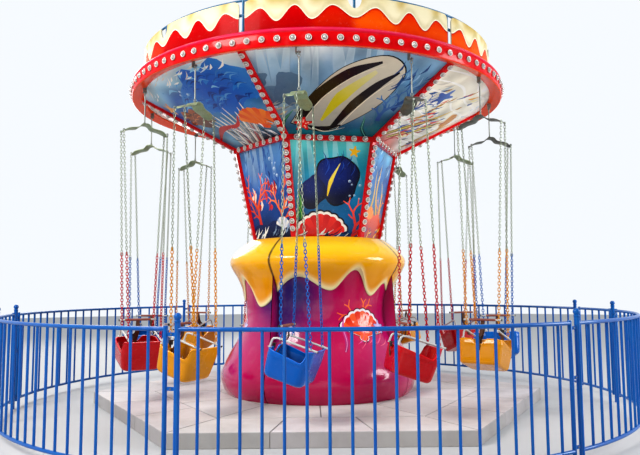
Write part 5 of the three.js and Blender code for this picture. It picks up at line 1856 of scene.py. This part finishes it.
def chain_lines():
    """The four chains' ends: on the spreader, and on the seat's rails."""
    for side in (-1, 1):
        for top, foot in CHAIN_ENDS:
            yield np.array((top, -side * CHAIN_OUT, CHAIN_TOP)), seat_point(foot, side * TUBE_OUT, 0.0)


def lap_bar_ends():
    """Where the lap bar meets the front chains: along and outwards."""
    top, along = CHAIN_ENDS[0]
    foot = seat_point(along, TUBE_OUT, 0.0)
    share = (LAP_BAR - CHAIN_TOP) / (foot[2] - CHAIN_TOP)
    return top + (foot[0] - top) * share, CHAIN_OUT + (TUBE_OUT - CHAIN_OUT) * share


class RIDE_OT_hangers(RideOperator, bpy.types.Operator):
    """Hang each chair's eye, rod, spreader, four link chains, rails and lap bar"""

    bl_idname = "ride.hangers"
    bl_label = "Hangers and chains"

    coat_height = 1.85
    # Three spreaders, on the chairs at the right, get a darker copy of the spreader paint as painted shade.
    dull_chairs = (1, 2, 3)

    def execute(self, context):
        paints = [finish(zinc, "spreader", colour_of("spreader"), 0.25)]
        # This darker copy of the spreader paint is painted shade.
        paints.append(finish(zinc, "dull_spreader", tint("66685e"), 0.25))
        steel = finish(zinc, "rod", tint("a3a9a2"))
        white = finish(gloss_paint, "rail", tint("c6c6c2"), tint("9d9c96"), 0.28, 0.02)
        sleeve = finish(rubber, "sleeve", tint("8a4a3c"))
        strap, buckle = finish(webbing), finish(rubber, "buckle", tint("131316"))
        top, eye, low = self.spreader(), Skin(), self.rails()
        eye.tube(upright_ring(24, 0.0165, 0, 0, -0.0017), 0.0045, 8, closed=True)
        for index in range(CHAIRS):
            place = chair_place(index)
            paint = paints[index in self.dull_chairs]
            self.hung(top, place, "spreader", index, [paint, steel], 40)
            self.hung(eye, chair_place(index, False), "peg_eye", index, [steel], 35)
            self.hung(low, place, "rails", index, [white, sleeve, strap, buckle], 40)
            self.chains(index, place)
        return {"FINISHED"}

    def hung(self, skin, place, name, index, finishes, smooth):
        """A copy of a chair's part in its place on the ride."""
        number = f"{index + 1:02d}"
        copy = Skin()
        copy.points = [place(points) for points in skin.points]
        copy.faces, copy.inks, copy.kinds = skin.faces, skin.inks, skin.kinds
        piece = copy.build(f"{name}_{number}", finishes, smooth)
        hand_over(piece, f"chair_{number}", "hanger_steel", f"hanger_{number}")

    def spreader(self):
        """Rod with a ring at both ends, shackle, bent spreader plate and the four chain eyes."""
        skin = Skin()
        bend = [(0.272, -0.516), (0.19, -0.470), (0.076, -0.452), (0.04, -0.402)]
        line = eased([(-out, z) for out, z in bend] + bend[::-1], 0.03, 5)
        rows = []
        for out, z in line:
            past = max(abs(out) - 0.244, 0) / 0.03
            half = 0.072 * math.sqrt(max(1 - past**2, 0.02))
            edge = [(half - 0.003, z + 0.002), (half, z), (half, z - 0.006), (half - 0.003, z - 0.008)]
            section = [(-x, h) for x, h in edge[1::-1]] + edge + [(-x, h) for x, h in edge[:1:-1]]
            rows.append([(x, -out, h) for x, h in section])
        skin.bar(rows)
        for z in (-0.0345, -0.372):
            skin.tube(upright_ring(20, 0.0145, 0, 0, z, across=True), 0.0042, 8, kind=1, closed=True)
        skin.tube([(0, 0, -0.051), (0, 0, -0.356)], 0.0078, 12, kind=1)
        shackle = [(-0.016, -0.412), (-0.016, -0.39), (0, -0.372), (0.016, -0.39), (0.016, -0.412)]
        skin.tube(eased([(0, y, z) for y, z in shackle], 0.02, 5), 0.0042, 8, kind=1)
        for (x, y, z), _ in chain_lines():
            a, b = circle(20)
            loop = np.column_stack([np.full(20, x), y + 0.011 * a, z + 0.006 + 0.013 * b])
            skin.tube(loop, 0.0036, 6, kind=1, closed=True)
            nut = [(0, z + 0.012), (0.011, z + 0.012), (0.011, z + 0.02), (0, z + 0.02)]
            skin.lathe(nut, 6, kind=1, centre=(x, y))
        return skin

    def rails(self):
        """The seat's two bent rails, and the lap bar with its sleeve, strap and buckle."""
        skin = Skin()
        bend = [(0.25, 0.0), (-0.155, 0.0), (-0.205, -0.016), (-0.213, -0.06), (-0.213, -0.1035)]
        # The parts of a rail: [line, radius, finish]. Its foot ring, end cap and chain bands follow the pipe.
        parts = [(eased(bend, 0.05, 6), 0.0098, 0), ([(-0.213, -0.0985), (-0.213, -0.1045)], 0.019, 0)]
        parts.append(([(0.2495, 0.0), (0.2545, 0.0)], (0.0122, 0.010), 3))
        parts += [([(foot - 0.009, 0.0), (foot + 0.009, 0.0)], 0.0138, 0) for _, foot in CHAIN_ENDS]
        for side in (-1, 1):
            for line, radius, kind in parts:
                along, up = np.transpose(line)
                skin.tube(seat_point(along, side * TUBE_OUT, up), radius, 14, kind=kind)
        x, reach = lap_bar_ends()
        for out, radius, sides, kind in ((reach + 0.03, 0.0105, 14, 0), (reach - 0.034, 0.0132, 16, 1)):
            skin.tube([(x, -out, LAP_BAR), (x, out, LAP_BAR)], radius, sides, kind=kind)
        for side in (-1, 1):
            cap = [(x, side * (reach + out), LAP_BAR) for out in (0.0295, 0.036)]
            skin.tube(cap[::side], 0.0132, 14, kind=3)
            skin.tube(upright_ring(18, 0.014, x, side * reach, LAP_BAR, across=True), 0.003, 6, closed=True)
        front, lip = seat_point(-0.226, 0, -0.19), seat_point(-0.222, 0, -0.155)
        inner = seat_point(-0.198, 0, -0.2)
        path = [(x + 0.002, 0, LAP_BAR - 0.012), (x - 0.03, 0, LAP_BAR - 0.14), lip + (-0.014, 0, 0.05)]
        path = eased([*path, front + (-0.004, 0, -0.01), front + (0.006, 0, -0.07)], 0.05, 6)
        self.band(skin, path, 0.021)
        second = [(x + 0.004, 0, LAP_BAR - 0.012), (x + 0.02, 0, LAP_BAR - 0.11)]
        second = eased([*second, inner + (0.02, 0, 0.04), inner + (0.004, 0, -0.07)], 0.05, 6)
        self.band(skin, second, 0.021)
        middle = path[len(path) // 2]
        shell = rounded(-0.03, 0.03, 0.026, 0.012, 4)
        skin.slab(shell, -0.008, 0.008, 0.003, kind=3, place=lambda rows: rows[..., [2, 0, 1]] + middle)
        return skin

    def band(self, skin, path, half):
        """A flat strap along a line, with its weave's place kept as ink."""
        way = np.gradient(path, axis=0)
        way /= np.linalg.norm(way, axis=1)[:, None]
        out = np.cross(way, (0, 1, 0)) * 0.0012
        run = np.concatenate([[0], np.cumsum(np.linalg.norm(np.diff(path, axis=0), axis=1))])
        corners = ((-half, -1), (half, -1), (half, 1), (-half, 1))
        rows = [[point + (0, y, 0) + thick * t for y, t in corners] for point, thick in zip(path, out)]
        skin.bar(rows, [[(y, s, 0) for y, _ in corners] for s in run], 2)

    def chains(self, index, place):
        """Galvanised links above, and links dipped in the seat's colour below."""
        number, seat = f"{index + 1:02d}", SEATS[index % 3]
        colour = colour_of(seat)
        coat = finish(gloss_paint, f"{seat}_chain", colour, dimmed(colour, 0.75), 0.35, 0.03)
        bare = finish(zinc, "chain", tint("9fa894"), 0.6)
        limit = self.coat_height - PIN[1]
        for name, metal, grow, part in (("chain", bare, 1.0, 0), ("chain_dipped", coat, 1.3, 1)):
            points = []
            for top, foot in chain_lines():
                top, foot = top - (0, 0, 0.006), foot + (0, 0, 0.016)
                share = (limit - top[2]) / (foot[2] - top[2])
                stops = [top, top + (foot - top) * share, foot]
                points += [place(stops[part]), place(stops[part + 1])]
            lines = [(i, i + 1) for i in range(0, len(points), 2)]
            values = {
                "Pitch": size_of("chain_pitch"), "Width": size_of("chain_width") * grow,
                "Wire": size_of("chain_wire") * grow, "Finish": metal,
            }
            links = grown(f"{name}_{number}", chain_tree, values, points, lines=lines, smooth=60)
            hand_over(links, f"chair_{number}", "hanger_steel", f"hanger_{number}")


class RIDE_OT_seats(RideOperator, bpy.types.Operator):
    """Mould the twelve bucket seats in blue, red and yellow"""

    bl_idname = "ride.seats"
    bl_label = "Bucket seats"

    half_wide, half_deep, round_corner = 0.245, 0.22, 0.08
    shoulder = -0.165
    # How far the walls are drawn in at each depth, outside and inside: [depth, sides, front and back].
    outside = (
        (-0.372, -0.056, -0.052), (-0.3705, -0.048, -0.044), (-0.362, -0.037, -0.033),
        (-0.350, -0.0265, -0.0225), (-0.335, -0.0212, -0.0175), (-0.30, -0.0168, -0.0138),
        (-0.25, -0.0112, -0.0092), (-0.20, -0.0056, -0.0046), (-0.165, -0.0017, -0.0014),
    )
    inside = (
        (-0.165, -0.016, -0.016), (-0.22, -0.031, -0.029), (-0.26, -0.044, -0.041),
        (-0.280, -0.056, -0.053), (-0.289, -0.07, -0.066), (-0.290, -0.09, -0.085),
    )
    # The rolled edge, from outside to inside: [outwards, below the brim, brightness share, as painted
    # highlight above 1 and painted shade below 1].
    edge_roll = (
        (0.0022, 0.009, 1.3), (0.0032, 0.005, 1.45), (0.0012, 0.001, 1.5), (-0.007, 0.0, 1.4),
        (-0.0135, 0.002, 1.2), (-0.0155, 0.009, 0.95),
    )
    # The brim's height along the side walls, from the front to the back.
    brim_at = (-0.22, 0.135, 0.15, 0.16, 0.17, 0.178, 0.186, 0.194)
    brim_height = (-0.105, -0.1405, -0.137, -0.106, -0.064, -0.032, -0.016, -0.0122)

    def execute(self, context):
        rows, inks = self.bucket()
        for index in range(CHAIRS):
            number, seat = f"{index + 1:02d}", SEATS[index % 3]
            skin = Skin()
            skin.bar(chair_place(index)(rows), inks)
            piece = skin.build(f"bucket_{number}", [finish(seat_moulding, seat, colour_of(seat))], 50)
            hand_over(piece, f"chair_{number}", seat, f"seat_{number}")
        return {"FINISHED"}

    def plan(self, narrow_wide, narrow_deep):
        """Rounded outline of the bucket at one depth: [along, outwards], anticlockwise from above."""
        d, w = self.half_deep + narrow_deep, self.half_wide + narrow_wide
        r = self.round_corner + min(narrow_wide, narrow_deep) * 0.5
        points = []
        for sx, sy, start in ((1, 1, 0), (-1, 1, 90), (-1, -1, 180), (1, -1, 270)):
            for a in np.radians(start + np.linspace(0, 90, 8)):
                points.append((sx * (d - r) + r * math.cos(a), sy * (w - r) + r * math.sin(a)))
        points = np.array(points)
        rows = []
        for a, b in zip(points, np.roll(points, -1, 0)):
            count = 13 if np.linalg.norm(b - a) > 0.1 else 1
            rows += [a + (b - a) * k / count for k in range(count)]
        return np.array(rows) * (1, -1)

    def brim(self, along, outwards):
        """Height of the bucket's edge: low sides, a dip for the strap in front, and a tall back."""
        side = np.interp(along, self.brim_at, self.brim_height)
        near = ((0.08 - np.abs(outwards)) / 0.036).clip(0, 1)
        dip = 0.06 * (1 - np.cos(math.pi * near)) / 2
        return side - dip * (along < -0.1)

    def bucket(self):
        """Rows up the outside, over the edge and down the inside, with painted light and shade: painted
        highlights on the lower lip and the rolled edge, lighter towards the brim, and painted shade inside.
        """
        rows, inks = [], []

        def add(narrow_wide, narrow_deep, up, shade):
            plan = self.plan(narrow_wide, narrow_deep)
            rows.append(seat_point(plan[:, 0], plan[:, 1], up))
            inks.append(np.full((len(plan), 3), shade))

        edge = self.brim(*self.plan(0, 0).T)
        for depth, wide, deep in self.outside:
            # The lower lip is painted lighter as a painted highlight, and the rest of the outside slightly
            # darker.
            add(wide, deep, depth, 1.08 if -0.371 < depth < -0.34 else 0.96)
        # The outside is painted lighter towards the brim as painted light.
        for share in np.linspace(0.12, 1, 7):
            add(0, 0, self.shoulder + (edge - 0.012 - self.shoulder) * share, 0.97 + 0.06 * share)
        for out, below, shade in self.edge_roll:
            add(out, out, edge - below, shade)
        # The inside walls and floor are painted darker as painted shade.
        for share in np.linspace(1, 0.1, 6):
            add(-0.014, -0.014, self.shoulder + (edge - 0.013 - self.shoulder) * share, 0.85)
        for depth, wide, deep in self.inside:
            add(wide, deep, depth, 0.75)
        return np.array(rows), np.array(inks)


class RIDE_OT_fence(RideOperator, bpy.types.Operator):
    """Weld the ring fence's posts, bays and two gates, with their pickets"""

    bl_idname = "ride.fence"
    bl_label = "Ring fence"

    # The number of each bay's first post. Some bays carry a gate on it, and some keep their last post too.
    bays, gate_bays, end_bays = (0, 1, 2, 4, 5, 6), (0, 4), (2, 6)
    per_mm = math.degrees(0.001 / FENCE_RING)
    picket_step = 2.52
    hinge_heights = (0.3, 0.9)
    bracket_heights = (0.14, 0.7, 1.105)

    def execute(self, context):
        self.blue = finish(gloss_paint, "fence", colour_of("fence"), tint("0066aa"), 0.26, 0.02)
        self.metal = finish(zinc, "pintle", tint("7d8084"))
        for number, first in enumerate(self.bays, 1):
            start, end = POSTS[first], POSTS[first + 1]
            stile = end - 1.55
            skin = Skin()
            self.post(skin, start)
            self.rails(skin, start, stile)
            self.stile(skin, stile)
            for z in self.bracket_heights:
                self.bracket(skin, stile, end, z)
            if first in self.end_bays:
                self.post(skin, end)
            if first in self.gate_bays:
                for z in self.hinge_heights:
                    self.pintle(skin, start, z)
            piece = skin.build(f"bay_{number}", [self.blue, self.metal], 40)
            hand_over(piece, "ground", "fence_blue", f"fence_bay_{number}")
            self.pickets(f"bay_{number}_pickets", "ground", start + 2.6, stile - 2.3)
        for name, start, end in (("right", POSTS[3], POSTS[4]), ("left", POSTS[7], POSTS[0] + 360)):
            hinge = end - 100 * self.per_mm
            free = start + 49 * self.per_mm + 0.55
            skin = Skin()
            self.rails(skin, free, hinge)
            self.stile(skin, free)
            self.stile(skin, hinge)
            for z in self.hinge_heights:
                self.gate_eye(skin, end, z)
            piece = skin.build(f"leaf_{name}", [self.blue, self.metal], 40)
            hand_over(piece, f"gate_{name}", "fence_blue", f"gate_{name}")
            self.pickets(f"leaf_{name}_pickets", f"gate_{name}", free + 2.3, hinge - 2.3)
        return {"FINISHED"}

    def pickets(self, name, body, first, last):
        values = {
            "First": math.radians(first), "Last": math.radians(last), "Ring": FENCE_RING,
            "Count": round((last - first) / self.picket_step) + 1, "Foot": 0.112, "Top": 1.143,
            "Radius": size_of("picket_radius"), "Finish": self.blue,
        }
        hand_over(grown(name, picket_tree, values), body, "fence_blue")

    def rails(self, skin, start, end):
        angles = np.linspace(start, end, max(6, round((end - start) / 1.25)))
        for z in (0.11, 1.145):
            skin.tube(around(angles, FENCE_RING, z), size_of("rail_radius"), 12)

    def stile(self, skin, angle):
        line = [around(angle, FENCE_RING, z) for z in (0.08, 0.086, 1.164, 1.169)]
        skin.tube(line, (0.016, 0.0185, 0.0185, 0.016), 14)

    def post(self, skin, angle):
        """Post on a welded foot ring, with a collar and a ball on top."""
        turn = np.radians(np.linspace(42, 180, 14))
        ball = np.column_stack([0.0295 * np.sin(turn), 1.2385 - 0.0295 * np.cos(turn)])
        line = [(0, 0), (0.0255, 0.0), (0.0255, 0.006), (0.0235, 0.011), (0.0225, 0.014), (0.0225, 1.196)]
        line += [(0.0265, 1.199), (0.0265, 1.206), (0.0195, 1.212), *ball[:-1], (0, ball[-1][1])]
        skin.lathe(line, 20, centre=around(angle, FENCE_RING, 0)[:2])

    def on_ring(self, angle, z):
        """Map from a point of the fence's ring to the ride: [along, outwards, up]."""
        return lambda points: turned_by(np.asarray(points, float) + (0, -FENCE_RING, z), angle)

    def bracket(self, skin, stile, post, z):
        """Flat lug from an end stile to the next post, with its bolt head."""
        reach = (post - stile) / self.per_mm / 1000
        outline = rounded(0.012, reach - 0.0235, 0.013, 0.004, 3)
        place = self.on_ring(stile, z)
        stood = lambda rows: place(rows[..., [0, 2, 1]] * (1, -1, 1))
        skin.slab(outline[::-1], -0.004, 0.004, 0.001, place=stood)
        skin.tube(place([(reach / 2, -0.003, 0), (reach / 2, -0.009, 0)]), 0.0065, 6, kind=1)

    def pintle(self, skin, angle, z):
        """Lug and upright pin that a gate's eye turns on."""
        place = self.on_ring(angle, z)
        skin.slab(rounded(-0.061, -0.018, 0.009, 0.006, 3), -0.0068, 0.0068, 0.001, kind=1, place=place)
        pin = place([(-0.052, 0, 0), (-0.052, 0, 0.044), (-0.052, 0, 0.05)])
        skin.tube(pin, (0.0085, 0.0085, 0.0055), 16, kind=1)

    def gate_eye(self, skin, angle, z):
        """Ring and lug of a gate round its pintle."""
        place = self.on_ring(angle, z + 0.0075)
        rows = []
        for radius, height in ((0.0125, 0.0), (0.0205, 0.0), (0.0205, 0.034), (0.0125, 0.034)):
            along, out = circle(24, radius)
            rows.append(np.column_stack([along - 0.052, out, np.full(24, height)]))
        skin.grid(place(rows), ring=True, closed=True)
        skin.slab(rounded(-0.1, -0.069, 0.004, 0.002, 2), 0.001, 0.033, 0.001, place=place)


class RIDE_PT_panel(bpy.types.Panel):
    """Sizes, colours and the makers of the ride's pieces"""

    bl_idname = "RIDE_PT_panel"
    bl_label = "Chair swing ride"
    bl_space_type = "VIEW_3D"
    bl_region_type = "UI"
    bl_category = "Swing ride"

    def draw(self, context):
        for group in (context.scene.ride_sizes, context.scene.ride_colours):
            box = self.layout.box()
            for key in group.__annotations__:
                box.prop(group, key)
        for operator in OPERATORS:
            self.layout.operator(operator.bl_idname)


OPERATORS = (
    RIDE_OT_stage, RIDE_OT_plinth, RIDE_OT_base, RIDE_OT_panels, RIDE_OT_ribs, RIDE_OT_rim, RIDE_OT_fascia,
    RIDE_OT_roof, RIDE_OT_hangers, RIDE_OT_seats, RIDE_OT_fence,
)


def register():
    for kind in (RideSizes, RideColours, *OPERATORS, RIDE_PT_panel):
        bpy.utils.register_class(kind)
    bpy.types.Scene.ride_sizes = bpy.props.PointerProperty(type=RideSizes)
    bpy.types.Scene.ride_colours = bpy.props.PointerProperty(type=RideColours)


def unregister():
    del bpy.types.Scene.ride_colours, bpy.types.Scene.ride_sizes
    for kind in (RIDE_PT_panel, *reversed(OPERATORS), RideColours, RideSizes):
        bpy.utils.unregister_class(kind)


def main():
    register()
    for operator in OPERATORS:
        getattr(bpy.ops.ride, operator.bl_idname.split(".")[1])()
    corners = {"cad": CAD_BOX, "visual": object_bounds()}
    {key: [[float(v) for v in corner] for corner in value] for key, value in corners.items()}


if __name__ == "__main__":
    main()
